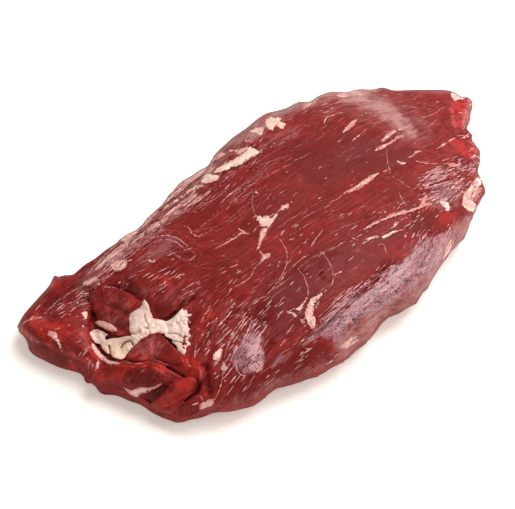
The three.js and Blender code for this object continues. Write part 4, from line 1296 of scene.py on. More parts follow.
def fat_finish(name):
    f = Finish(name)
    place = f.node("ShaderNodeTexCoord", output="Object")
    yellow, rose = f.mark("yellow"), f.mark("rose")
    crevice = f.mark("crevice")
    broad = f.noise(place, 110.0, 3.0)
    fine = f.noise(place, 520.0, 3.0, 0.65)
    waxy = f.noise(place, 1500.0, 2.0)
    colour = f.mixed(broad.between(0.42, 0.66) * 0.35, FAT_CREAM, FAT_ROSE)
    colour = f.mixed((rose + (fine - 0.5) * 1.2).between(0.15, 0.95), colour, FAT_ROSE)
    colour = f.mixed((rose + (waxy - 0.5) * 0.8).between(0.55, 1.05), colour, RAW_PINK)
    colour = f.mixed(yellow * (1.0 - broad * 0.4), colour, FAT_YELLOW)
    colour = f.mixed((fine - 0.5).between(0.06, 0.20) * 0.35, colour, FAT_SHADE)
    # Painted shade in the cracks and slits of the fat
    colour = f.mixed(crevice * 0.45, colour, FAT_SHADE)
    normal = f.bump(fine * 1.0 + waxy * 0.4 + broad * 1.2, 0.8, 0.0008)
    return f.surface(Base_Color=colour, Roughness=0.46 + waxy * 0.10, Normal=normal,
                     Coat_Weight=0.18, Coat_Roughness=0.25, IOR=1.45,
                     Subsurface_Weight=0.15, Subsurface_Radius=(0.8, 0.45, 0.3),
                     Subsurface_Scale=0.002)


def floor_finish(name):
    f = Finish(name)
    place = f.node("ShaderNodeTexCoord", output="Object")
    cloudy = f.noise(place, 3.0, 2.0)
    colour = f.mixed(cloudy, tone(0.90, 0.87, 0.84), tone(0.92, 0.89, 0.86))
    return f.surface(Base_Color=colour, Roughness=0.75, Emission_Color=tone(1.0, 0.92, 0.84),
                     Emission_Strength=0.32)


MUSCLE = muscle_finish("wet muscle")
FAT = fat_finish("raw fat")


# Building the flesh
FOLD_HEIGHT = 0.60
STRAND_HEIGHT = 0.34
FINE_STRAND_HEIGHT = 0.16
SWELL_HEIGHT = 0.5
CALM_RELIEF = 0.32
CUT_FACE_SLOPES = (0.40, 0.75)
CUT_FACE_REACH = (46, 24)
RIM_FADE_STEPS = 6
# Where the flesh is ropy: how much, then the outline
ROPY_FLESH = (
    (1.0, 36,322, 58,284, 108,246, 148,212, 180,184, 228,146, 262,122, 266,142, 230,176, 198,212, 164,244,
     130,262, 100,280, 72,310),
    (0.9, 262,366, 258,326, 290,298, 330,300, 352,290, 378,262, 398,240, 424,236, 428,262, 396,302, 350,340,
     300,368),
    (0.8, 192,332, 212,304, 244,288, 264,300, 238,330, 224,362, 204,362),
    (0.8, 404,160, 430,158, 478,162, 472,200, 440,208, 408,198),
    (0.5, 284,232, 320,200, 356,176, 372,190, 330,226, 296,252),
)


# Where flecks, partly fat and partly painted glints, lie between the fibres: how close, then the outline
FLECKED_FLESH = (
    (0.72, 196,300, 222,268, 262,262, 296,252, 308,256, 298,276, 300,300, 288,318, 256,340, 236,366, 222,390,
     206,376),
    (0.35, 282,240, 300,200, 340,180, 356,190, 348,214, 320,232, 292,254),
    (0.75, 140,276, 162,260, 194,262, 204,286, 186,306, 150,302),
    (0.1, 300,120, 350,96, 420,100, 450,130, 440,160, 380,170, 330,160),
    (0.6, 262,350, 300,320, 330,310, 320,350, 280,380, 256,380),
    (0.7, 340,230, 380,205, 430,200, 440,215, 400,240, 360,250),
    (0.8, 70,296, 92,286, 92,306, 76,316, 60,320),
    (0.9, 424,188, 446,170, 476,156, 478,172, 462,198, 440,202),
)
BARE_FLESH_FLECKS = 0.022
# Where pale strokes of painted highlight and dark strokes of painted shade lie side by side: how close,
# then the outline
STROKED_FLESH = (
    (1.2, 414,188, 422,174, 440,165, 464,158, 478,155, 479,171, 468,190, 460,200, 444,204, 424,198),
    (0.6, 406,254, 414,238, 430,233, 452,228, 452,244, 436,262, 422,270),
    (0.45, 402,246, 408,234, 420,234, 414,246, 406,258),
    (0.6, 318,326, 340,302, 366,278, 392,254, 402,258, 384,280, 352,306, 330,330),
    (1.0, 224,372, 232,346, 246,322, 262,308, 268,322, 256,340, 244,354, 246,374),
    (0.7, 74,294, 100,264, 132,236, 160,210, 186,188, 204,190, 180,214, 150,240, 120,264, 92,290),
    (0.3, 140,262, 152,244, 172,236, 188,246, 206,254, 200,262, 170,258, 150,264),
    (0.5, 36,320, 56,302, 84,288, 100,286, 88,306, 64,318),
    (0.62, 196,352, 204,322, 222,306, 246,298, 262,306, 236,332, 222,370),
    (0.08, 146,284, 164,266, 188,268, 194,288, 176,302, 152,300),
    (0.6, 222,384, 226,346, 240,338, 236,366, 262,380, 240,390),
    (0.3, 262,376, 284,350, 310,334, 330,334, 300,366, 272,384),
    (0.5, 204,176, 230,154, 262,134, 270,142, 240,170, 214,190),
    (0.1, 300,112, 340,98, 400,98, 440,104, 440,124, 400,120, 340,116),
    (0.5, 458,98, 474,104, 470,130, 484,156, 470,162, 458,130),
    (0.2, 16,326, 40,320, 92,344, 96,372, 60,362, 24,342),
)
BARE_FLESH_STROKES = 0.015


# How the grain runs: a pixel x,y and the angle there in degrees, up to the right
GRAIN_GUIDES = (
    40,315,45, 60,300,40, 85,285,38, 110,262,42, 130,245,42, 150,228,43, 160,205,42, 180,200,38, 200,185,40,
    230,170,32, 250,160,28, 280,165,22, 300,155,24, 170,220,42, 190,212,32, 220,200,38, 240,188,40,
    160,232,35, 170,238,15, 180,236,0, 190,242,-35, 200,248,-25, 215,255,-5, 225,255,10, 240,248,25,
    250,240,35, 165,245,20, 180,246,-5, 175,255,20, 200,262,-5, 215,268,5, 235,262,20, 250,252,25, 230,272,22,
    225,282,32, 250,275,30, 240,290,45, 220,300,42, 230,310,55, 255,310,55, 280,290,45, 270,300,50,
    290,280,45, 300,265,42, 300,240,32, 290,220,42, 160,275,45, 190,278,25, 120,275,30, 140,268,20, 60,320,32,
    80,305,35, 50,335,20, 75,332,15, 290,120,18, 300,130,30, 290,150,32, 300,190,35, 290,215,35, 310,108,25,
    325,97,14, 345,94,8, 330,125,38, 345,130,48, 360,136,42, 370,112,-10, 385,102,18, 400,96,24, 410,125,25,
    430,115,26, 440,127,42, 445,145,30, 380,125,20, 395,134,30, 400,155,28, 415,162,-5, 430,165,8, 440,173,18,
    450,180,25, 460,190,34, 440,190,25, 380,180,20, 360,186,30, 340,200,28, 310,215,30, 320,230,32,
    350,215,30, 370,222,25, 400,212,22, 420,205,25, 390,232,20, 360,240,22, 430,232,62, 415,240,58,
    450,240,75, 435,220,58, 330,152,20, 350,167,20, 230,330,55, 245,340,53, 240,362,56, 257,345,55,
    262,372,50, 275,330,55, 290,320,54, 300,335,45, 312,325,42, 250,395,62, 265,386,60, 290,375,50,
    310,360,42, 230,400,72, 225,350,62, 222,380,76, 335,310,42, 355,300,42, 375,275,42, 390,262,45,
    400,290,46, 370,300,41, 345,330,44, 410,265,50, 430,245,68, 445,232,74, 420,275,52, 380,320,42,
    350,345,42, 440,258,60, 195,330,60, 200,350,68, 206,320,55, 212,342,60,
)
GUIDE_REACH = 8.0
GUIDE_FLOOR = 0.02
SOLVER_ROUNDS = 500


def fibre_map():
    """How far each place of the flesh lies along the rows and across them, in mm."""
    along = np.linalg.norm(np.diff(TOP, axis=0), axis=2).mean(axis=1)
    across = np.linalg.norm(np.diff(TOP, axis=1), axis=2).mean(axis=0)
    u = np.concatenate([[0], np.cumsum(along)]) / MM
    v = np.concatenate([[0], np.cumsum(across)]) / MM
    return u[:, None] + 0 * v[None, :], v[None, :] + 0 * u[:, None]


def summed_up(steps_u, steps_v, start):
    """The field whose steps along rows and columns come nearest to the wanted ones."""
    def gathered(rows, columns):
        out = np.zeros_like(start)
        out[:-1] -= rows
        out[1:] += rows
        out[:, :-1] -= columns
        out[:, 1:] += columns
        return out

    def spread(field):
        return gathered(np.diff(field, axis=0), np.diff(field, axis=1))

    field = start.copy()
    rest = gathered(steps_u, steps_v) - spread(field)
    aim = rest.copy()
    size = np.sum(rest * rest)
    for _ in range(SOLVER_ROUNDS):
        moved = spread(aim)
        step = size / (np.sum(aim * moved) + 1e-12)
        field += step * aim
        rest -= step * moved
        onward = np.sum(rest * rest)
        aim = rest + aim * onward / (size + 1e-12)
        size = onward
    return field


def finer(coarse, rows, columns):
    """A coarse grid's values on the whole grid, made smooth."""
    i = np.arange(rows) / COARSE
    j = np.arange(columns) / COARSE
    wide = np.array([np.interp(j, np.arange(coarse.shape[1]), row) for row in coarse])
    full = np.array([np.interp(i, np.arange(coarse.shape[0]), column) for column in wide.T]).T
    return softened(full, COARSE * 0.6, COARSE * 0.6)


def grain_map(u, v):
    """Two maps of the flesh in mm: one runs along the grain, and one across it."""
    grid = TOP[::COARSE, ::COARSE]
    u, v = u[::COARSE, ::COARSE], v[::COARSE, ::COARSE]
    x, y = (flat.reshape(u.shape) for flat in VIEW.pixels(grid.reshape(-1, 3)))
    facing = np.sum(grid_normals(grid) * VIEW.towards(grid.reshape(-1, 3)).reshape(grid.shape), axis=2)
    (x_u, x_v), (y_u, y_v) = ((np.gradient(pixel, axis=0) / np.gradient(u, axis=0),
                               np.gradient(pixel, axis=1) / np.gradient(v, axis=1)) for pixel in (x, y))
    total = np.full(u.shape, GUIDE_FLOOR)
    turns = np.zeros(u.shape)
    for spot_x, spot_y, angle in np.reshape(GRAIN_GUIDES, (-1, 3)):
        away = np.hypot(x - spot_x, y - spot_y) + 1e3 * (facing < 0.1)
        i, j = np.unravel_index(np.argmin(away), away.shape)
        frame_there = np.array([[x_u[i, j], x_v[i, j]], [y_u[i, j], y_v[i, j]]])
        slope = math.radians(angle)
        run = np.linalg.solve(frame_there, [math.cos(slope), -math.sin(slope)])
        turn = math.atan2(run[1], run[0])
        turn -= math.pi * round(turn / math.pi)
        weight = np.exp(-((u - u[i, j]) ** 2 + (v - v[i, j]) ** 2) / GUIDE_REACH ** 2)
        total += weight
        turns += weight * turn
    turns /= total
    mid_u = (turns[1:] + turns[:-1]) / 2
    mid_v = (turns[:, 1:] + turns[:, :-1]) / 2
    du, dv = np.diff(u, axis=0), np.diff(v, axis=1)
    along = summed_up(np.cos(mid_u) * du, np.sin(mid_v) * dv, u)
    across = summed_up(-np.sin(mid_u) * du, np.cos(mid_v) * dv, v)
    return finer(along, ROWS, COLUMNS), finer(across, ROWS, COLUMNS)


def fibre_relief(u, v):
    """Ridges along the fibres: broad folds, bundles and fine strands, in mm."""
    bent = v + 2.4 * lumps(u / 60, v / 26, 3) + 0.5 * lumps(u / 19, v / 9, 4)
    folds = 0.5 - np.abs(lumps(u / 80, bent / 8.0, 5))
    strands = 0.5 - np.abs(lumps(u / 44, bent / 2.9, 6))
    fine = lumps(u / 24, bent / 1.5, 7)
    return FOLD_HEIGHT * folds + STRAND_HEIGHT * strands + FINE_STRAND_HEIGHT * fine


def edge_fade(rows, columns):
    """0 on the grid's rim, 1 a few steps inside it."""
    i = np.minimum(np.arange(rows), np.arange(rows)[::-1])[:, None]
    j = np.minimum(np.arange(columns), np.arange(columns)[::-1])[None, :]
    return smooth(np.minimum(i, j) + 0.0, 0, RIM_FADE_STEPS)


TINTS = ("fresh", "dark", "painted_shade", "membrane_and_sheen", "wet", "cream", "bright", "painted_glint", "painted_sheen")


def build_flesh():
    row_run, column_run = fibre_map()
    u, v = grain_map(row_run, column_run)
    fade = edge_fade(ROWS, COLUMNS)
    flesh = Sculptor(TOP.reshape(-1, 3), grid_normals(TOP).reshape(-1, 3), 11)
    for shape in (shape_pocket, shape_cut_end, shape_top, shape_near_side, shape_broad_end, colour_flesh):
        shape(flesh)
    for tint, patches, edge, rag in (("ropy", ROPY_FLESH, 16.0, 2.0), ("flecked", FLECKED_FLESH, 16.0, 3.0),
                                     ("stroked", STROKED_FLESH, 9.0, 3.0)):
        for strength, *ring in patches:
            flesh.tint(tint, ring, strength, edge, rag)
    flesh.lift *= fade.ravel()
    grid = flesh.moved().reshape(ROWS, COLUMNS, 3)
    along = np.gradient(grid, axis=0)
    steep = np.abs(along[:, :, 2]) / np.linalg.norm(along, axis=2)
    cut = softened(smooth(steep, *CUT_FACE_SLOPES), 1.5, 1.5)
    cut *= smooth(row_run, *CUT_FACE_REACH)
    normals = grid_normals(grid)
    calm = CALM_RELIEF + (1 - CALM_RELIEF) * flesh.tints["ropy"].reshape(ROWS, COLUMNS)
    swells = SWELL_HEIGHT * (lumps(u / 40, v / 26, 8) + 0.5 * lumps(u / 15, v / 12, 12))
    relief = (fibre_relief(u, v) * calm + swells) * fade * (1 - 0.8 * cut)
    grid = grid + normals * (relief * MM)[:, :, None]
    grid[:, :, 2] = np.maximum(grid[:, :, 2], 0.0)
    flesh.tints["cut"] = np.maximum(cut.ravel(), smooth(flesh.tints["fresh"], 0.3, 0.7) * 0.9)
    return grid, flesh, u, v


def add_layer(mesh, name, kind, values):
    layer = mesh.attributes.new(name, kind, "POINT")
    key = "vector" if kind == "FLOAT_VECTOR" else "value"
    layer.data.foreach_set(key, np.ascontiguousarray(values, dtype=np.float32).ravel())


def add_fibre_uv(mesh, u, v):
    """The map named fibres: u runs along the grain and v across it, both in mm."""
    corners = np.zeros(len(mesh.loops), np.int32)
    mesh.loops.foreach_get("vertex_index", corners)
    layer = mesh.uv_layers.new(name="fibres")
    layer.data.foreach_set("uv", np.column_stack([u[corners], v[corners]]).astype(np.float32).ravel())


def grain_directions(grid, along):
    """The way the grain runs at each place: uphill on the map that counts along it."""
    step_u, step_v = np.gradient(grid, axis=0), np.gradient(grid, axis=1)
    rise_u, rise_v = np.gradient(along, axis=0), np.gradient(along, axis=1)
    run = (step_u * (rise_u / np.sum(step_u ** 2, axis=2))[:, :, None]
           + step_v * (rise_v / np.sum(step_v ** 2, axis=2))[:, :, None])
    return run / (np.linalg.norm(run, axis=2, keepdims=True) + 1e-12)


def flesh_piece():
    grid, flesh, u, v = build_flesh()
    inner = UNDER[1:-1, 1:-1].reshape(-1, 3)
    places = np.vstack([grid.reshape(-1, 3), inner])
    piece = new_object("flesh", places, closed_faces(), MUSCLE)
    mesh = piece.data
    extra = np.zeros(len(inner))
    for name in TINTS + ("cut",):
        add_layer(mesh, name, "FLOAT", np.concatenate([flesh.tints[name], extra]))
    under_u = u[::COARSE, ::COARSE][1:-1, 1:-1].ravel()
    under_v = v[::COARSE, ::COARSE][1:-1, 1:-1].ravel()
    add_fibre_uv(mesh, np.concatenate([u.ravel(), under_u]), np.concatenate([v.ravel(), under_v]))
    grain = grain_directions(grid, u).reshape(-1, 3)
    grain = np.vstack([grain, np.tile([1.0, 0.0, 0.0], (len(inner), 1))])
    add_layer(mesh, "grain", "FLOAT_VECTOR", grain)
    flecked = np.maximum(flesh.tints["flecked"], BARE_FLESH_FLECKS)
    flecked *= edge_fade(ROWS, COLUMNS).ravel() * (1 - 0.7 * flesh.tints["cut"])
    add_layer(mesh, "fleck_share", "FLOAT", np.concatenate([flecked, extra]))
    stroked = np.maximum(flesh.tints["stroked"], BARE_FLESH_STROKES) * edge_fade(ROWS, COLUMNS).ravel()
    add_layer(mesh, "stroke_share", "FLOAT", np.concatenate([stroked, extra]))
    return piece, grid


FLESH, FLESH_GRID = flesh_piece()


# Fat, laid on the flesh along the camera's rays
def grid_tester(grid):
    index = np.arange(grid.shape[0] * grid.shape[1]).reshape(grid.shape[:2])
    faces = grid_faces(grid.shape[0], grid.shape[1], index, False).tolist()
    return BVHTree.FromPolygons([tuple(place) for place in grid.reshape(-1, 3)], faces)


SMOOTH_TESTER = grid_tester(TOP)
FLESH_TESTER = grid_tester(FLESH_GRID)


def cast_on(tester, points):
    """Where pixels of the photograph fall on the flesh: depths, normals and rays. A pixel beside
    the flesh takes its depth from its neighbours in the path."""
    rays = np.array([VIEW.ray(x, y) for x, y in points])
    hits = [tester.ray_cast(Vector(VIEW.eye), Vector(ray)) for ray in rays]
    met = np.array([k for k, hit in enumerate(hits) if hit[0] is not None])
    order = np.arange(len(points))
    depths = np.interp(order, met, [hits[k][3] for k in met])
    normals = np.column_stack([np.interp(order, met, [hits[k][1][axis] for k in met])
                               for axis in range(3)])
    return depths, normals, rays


def over_flesh(curve):
    """The longest stretch of a curve that lies over the flesh."""
    rays = [VIEW.ray(x, y) for x, y in curve]
    missed = [k for k, ray in enumerate(rays)
              if FLESH_TESTER.ray_cast(Vector(VIEW.eye), Vector(ray))[0] is None]
    bounds = [-1] + missed + [len(curve)]
    start, end = max(zip(bounds[:-1], bounds[1:]), key=lambda pair: pair[1] - pair[0])
    return curve[start + 1:end]


BODY_VOXEL = 0.45 * MM
BODY_SPAN = 10 * MM
LUMP_ROUGHNESS = 0.5
LUMP_CUT_SHARE = 0.6


def rough_body(places, faces, body):
    """One body before its swelling: its outline drawn along the rays, front and back."""
    ring = eased_ring(body["outline"], body.get("rounds", 2))
    depths, _, rays = cast_on(SMOOTH_TESTER, ring)
    middle = np.median(depths)
    depths = np.clip(depths, middle - BODY_SPAN, middle + BODY_SPAN)
    start = len(places)
    count = len(ring)
    for offset in (-body["stand"], body["sink"]):
        for ray, depth in zip(rays, depths):
            places.append(VIEW.eye + ray * (depth + offset * MM))
    front = list(range(start, start + count))
    back = list(range(start + count, start + 2 * count))
    faces.append(front)
    faces.append(back[::-1])
    for k in range(count):
        onward = (k + 1) % count
        faces.append([front[k], back[k], back[onward], front[onward]])
    return ring


def swollen_bodies(name, bodies, material, swell_edge, seed, rough=1.0):
    """Bodies as one closed skin, swollen in their middles: its mesh and the marks on it."""
    places, faces = [], []
    rings = [rough_body(places, faces, body) for body in bodies.values()]
    draft = new_object(name + " draft", places, faces, material)
    face_outwards(draft.data)
    remesh = draft.modifiers.new("skin", "REMESH")
    remesh.mode = "VOXEL"
    remesh.voxel_size = BODY_VOXEL
    remesh.adaptivity = 0.0
    soften = draft.modifiers.new("soften", "SMOOTH")
    soften.factor = 0.5
    soften.iterations = 2
    mesh = finished_mesh(draft, name)
    mesh.materials.clear()
    mesh.materials.append(material)
    places = mesh_values(mesh.vertices, "co")
    skin = Sculptor(places, mesh_values(mesh.vertex_normals, "vector"), seed)
    skin.crevice = np.zeros(len(places))
    for ring, body in zip(rings, bodies.values()):
        pick = skin.beside(ring, 0.0)
        depth = np.clip(inside_ring(skin.x[pick], skin.y[pick], ring), 0, None)
        swollen = body["dome"] * (1 - np.exp(-depth / swell_edge))
        crumb = body.get("crumb", 0.0)
        if crumb:
            crack = 1 - curds(skin.x[pick] + 1.6 * skin.ragged[pick], skin.y[pick] * 1.15,
                              body.get("crumb_size", 6.0), seed)
            open_here = smooth(skin.mottle(6.0, seed + 3)[pick], -0.35, 0.5)
            crack = smooth(crack + 0.15 * skin.ragged[pick], 0.66, 1.02) * open_here
            swollen = swollen - crumb * crack
            skin.crevice[pick] = np.maximum(skin.crevice[pick], crack * min(crumb, 1.0))
        skin.lift[pick] = np.where(depth > 0, np.maximum(skin.lift[pick], swollen), skin.lift[pick])
        skin.stain("yellow", pick, body.get("yellow", 0.0) * smooth(depth, 0.0, 2.0))
        skin.stain("rose", pick, body.get("rose", 0.0) * smooth(depth, 5.0, 0.0))
    waves = (0.26 * skin.mottle(4.0, seed + 5) + 0.18 * skin.mottle(1.9, seed + 6)
             + 0.08 * skin.mottle(1.0, seed + 7))
    skin.lift += rough * waves
    return mesh, skin


def finished_body(name, mesh, skin, tints):
    mesh.vertices.foreach_set("co", skin.moved().ravel())
    shade_smooth(mesh)
    mesh.update()
    for tint in tints:
        add_layer(mesh, tint, "FLOAT", skin.tints.get(tint, np.zeros(len(mesh.vertices))))
    return linked(name, mesh)


def fat_bodies(name, bodies, swell_edge, seed, slits=()):
    mesh, skin = swollen_bodies(name, bodies, FAT, swell_edge, seed)
    for width, depth, *path in slits:
        skin.groove(path, width, depth, 0.0)
        pick, gap, _, _ = skin.measured(path, width * 2)
        skin.crevice[pick] = np.maximum(skin.crevice[pick], np.exp(-(gap / width) ** 2))
    skin.tints["crevice"] = skin.crevice
    return finished_body(name, mesh, skin, ("yellow", "rose", "crevice"))


PATCH_STEP = 0.6
PATCH_MARGIN = 1.6
PATCH_SINK = 0.30
PATCH_DEPTH = 1.3
PATCH_JUMP = 2.0


def patch_points(patch, number):
    """A fine lattice of pixels over one patch: which points it keeps, how high each stands, and its
    marks."""
    height, torn, rosiness, yellowness, *outline = patch
    ring = eased_ring(outline, 1)
    low, high = ring.min(axis=0) - PATCH_MARGIN - 1, ring.max(axis=0) + PATCH_MARGIN + 1
    x, y = np.meshgrid(np.arange(low[0], high[0], PATCH_STEP), np.arange(low[1], high[1], PATCH_STEP),
                       indexing="ij")
    flat_x, flat_y = x.ravel(), y.ravel()
    depth = inside_ring(flat_x, flat_y, ring)
    coarse = lumps(flat_x / 3.2, flat_y / 3.2, number + 80)
    fine = lumps(flat_x / 1.5, flat_y / 1.5, number + 90)
    cracks = 1 - curds(flat_x, flat_y * 1.2, 3.4, number + 70)
    cracks = smooth(cracks + 0.2 * coarse, 0.7, 1.0)
    edge = smooth(depth + 0.9 * coarse + 0.6 * fine, -0.4, 1.0)
    middle = smooth(depth, 0.0, 5.0)
    rise = -PATCH_SINK + (PATCH_SINK + 0.10) * edge + 0.4 * height * middle
    rise -= torn * (0.16 + 0.22 * cracks - 0.20 * coarse - 0.22 * fine)
    rise += 0.03 * coarse + 0.02 * fine
    keep = (depth > -PATCH_MARGIN).reshape(x.shape)
    rose = rosiness + 0.5 * (1 - smooth(rise, -0.02, 0.18)) + 0.45 * coarse + 0.2 * fine
    marks = {"yellow": np.full(x.shape, yellowness), "rose": np.clip(rose, 0, 0.9).reshape(x.shape),
             "crevice": cracks.reshape(x.shape) * torn}
    return x, y, keep, rise.reshape(x.shape), marks


def whole_cells(keep, depths):
    """The lattice cells with all four corners on the flesh, and no jump between them."""
    corners = np.stack([depths[:-1, :-1], depths[1:, :-1], depths[1:, 1:], depths[:-1, 1:]])
    kept = keep[:-1, :-1] & keep[1:, :-1] & keep[1:, 1:] & keep[:-1, 1:]
    cells = kept & (np.ptp(np.nan_to_num(corners, nan=9.0), axis=0) < PATCH_JUMP * MM)
    for _ in range(4):
        one = cells[:-1, :-1] & cells[1:, 1:] & ~cells[1:, :-1] & ~cells[:-1, 1:]
        other = cells[1:, :-1] & cells[:-1, 1:] & ~cells[:-1, :-1] & ~cells[1:, 1:]
        cells[:-1, :-1] &= ~one
        cells[1:, :-1] &= ~other
    return cells


def patch_piece(name, patches):
    """Fat that lies in the flesh, as thin sheets that follow it and dip under it at their edges."""
    places, faces = [], []
    marks = {"yellow": [], "rose": [], "crevice": []}
    for number, patch in enumerate(patches.values()):
        x, y, keep, rise, patch_marks = patch_points(patch, number)
        depths = np.full(x.shape, np.nan)
        tops = np.zeros(x.shape + (3,))
        normals = np.zeros(x.shape + (3,))
        for i, j in np.argwhere(keep):
            ray = VIEW.ray(x[i, j], y[i, j])
            hit, normal, _, distance = FLESH_TESTER.ray_cast(Vector(VIEW.eye), Vector(ray))
            if hit is None:
                keep[i, j] = False
            else:
                depths[i, j] = distance
                tops[i, j] = hit
                normals[i, j] = normal
        cells = whole_cells(keep, depths)
        index = np.full(x.shape, -1)
        used = np.zeros(x.shape, bool)
        for di in (0, 1):
            for dj in (0, 1):
                used[di:cells.shape[0] + di, dj:cells.shape[1] + dj] |= cells
        index[used] = len(places) + np.arange(used.sum())
        below = used.sum()
        upper = tops[used] + normals[used] * (rise[used] * MM)[:, None]
        lower = tops[used] - normals[used] * PATCH_DEPTH * MM
        places += list(upper) + list(lower)
        for mark, values in patch_marks.items():
            marks[mark] += list(values[used]) * 2
        for i, j in np.argwhere(cells):
            a, b, c, d = index[i, j], index[i + 1, j], index[i + 1, j + 1], index[i, j + 1]
            faces.append((a, b, c, d))
            faces.append((d + below, c + below, b + below, a + below))
            for near, far, beside in ((a, b, (i, j - 1)), (b, c, (i + 1, j)), (c, d, (i, j + 1)),
                                      (d, a, (i - 1, j))):
                inside = (0 <= beside[0] < cells.shape[0] and 0 <= beside[1] < cells.shape[1]
                          and cells[beside])
                if not inside:
                    faces.append((near, near + below, far + below, far))
    piece = new_object(name, places, faces, FAT)
    face_outwards(piece.data)
    for mark, values in marks.items():
        add_layer(piece.data, mark, "FLOAT", values)
    return piece


def shape_lumps(skin):
    """Ridges and creases on the lumps of muscle."""
    skin.fold((104,306, 110,304, 116,306, 124,309, 130,314), "above", 0.6, 4.0, 1.6, 6.0)
    skin.groove((112,312, 110,318, 112,322), 1.6, 0.8)
    skin.groove((150,362, 153,354, 154,346, 156,340), 1.6, 1.4)
    skin.groove((126,368, 128,376, 126,384), 2.4, 0.8)
    skin.fold((130,370, 142,368, 152,371, 160,376, 166,380), "above", 0.4, 3.0, 1.0, 3.0)


def muscle_bodies(name, bodies, swell_edge, seed):
    mesh, skin = swollen_bodies(name, bodies, MUSCLE, swell_edge, seed, LUMP_ROUGHNESS)
    shape_lumps(skin)
    colour_flesh(skin)
    skin.tints["cut"] = np.full(len(mesh.vertices), LUMP_CUT_SHARE)
    add_fibre_uv(mesh, skin.places[:, 0] / MM, skin.places[:, 1] / MM)
    return finished_body(name, mesh, skin, TINTS + ("cut",))


# Slits in the pocket's fat: width in pixels, depth in mm, then the path
POCKET_SLITS = (
    (0.9, 3.5, 121,348, 125,343, 131,341, 133,345),
    (1.0, 3.5, 109,346, 110,352, 110,358),
    (1.0, 1.2, 131,333, 136,334, 140,331),
    (0.9, 1.2, 144,314, 145,320, 148,325, 147,329),
    (0.8, 0.6, 150,306, 149,312, 151,318),
    (1.2, 0.6, 176,322, 180,330, 178,338),
    (0.8, 1.0, 168,334, 176,334, 184,338),
    (0.8, 1.0, 170,341, 178,342, 186,344),
)
# Cords: the share of a listed width, what is added to it in pixels, and how thick a cord may be
THREAD_WIDTH = 0.72
THREAD_EXTRA = 0.35
THREAD_THICKNESS = 0.30 * MM
# A pixel in mm, on the map of the strands
PIXEL_LENGTH = 0.58
STRAND_TONE_STEP = 5.3
CREAM_SEED = 2000
PINK_SEED = 1000
GAP_SEED = 500
WIDE_GAP = 1.2
NARROW_GAP = 0.9


def evened(values, reach=2):
    """A row of values, each the mean of those beside it."""
    padded = np.concatenate([[values[0]] * reach, values, [values[-1]] * reach])
    return np.convolve(padded, np.ones(2 * reach + 1) / (2 * reach + 1), "valid")


def strand_family(path, spread, count, width, seed):
    """Broken strands that run side by side along a path: width, then places, of each."""
    chance = np.random.default_rng(seed)
    curve = eased_path(path, 3.0)
    across = np.gradient(curve, axis=0)[:, ::-1] * (1, -1)
    across /= np.linalg.norm(across, axis=1, keepdims=True)
    family = []
    for k in range(count):
        offset = spread * ((k + chance.uniform(0.1, 0.9)) / count - 0.5)
        first = int(chance.uniform(0.0, 0.65) * len(curve))
        last = first + max(3, int(chance.uniform(0.18, 0.5) * len(curve)))
        part = slice(first, min(last, len(curve)))
        if len(curve[part]) > 2:
            drift = offset + chance.uniform(-1.5, 1.5) * np.linspace(-1, 1, len(curve[part]))
            places = curve[part] + across[part] * drift[:, None]
            family.append((width * chance.uniform(0.7, 1.3), *places.ravel()))
    return family


def one_list(groups):
    return [strand for group in groups.values() for strand in group]


def with_families(strands, families, seed, gaps, gap_width):
    """Some strands, and those of the families. The dark cords of painted shade beside these are added to the
    gaps.
    """
    for spread, count, gap_count, width, *path in families:
        strands += strand_family(path, spread, count, width, len(strands) + seed)
        gaps += strand_family(path, spread, gap_count, gap_width, len(gaps) + GAP_SEED)
    return strands


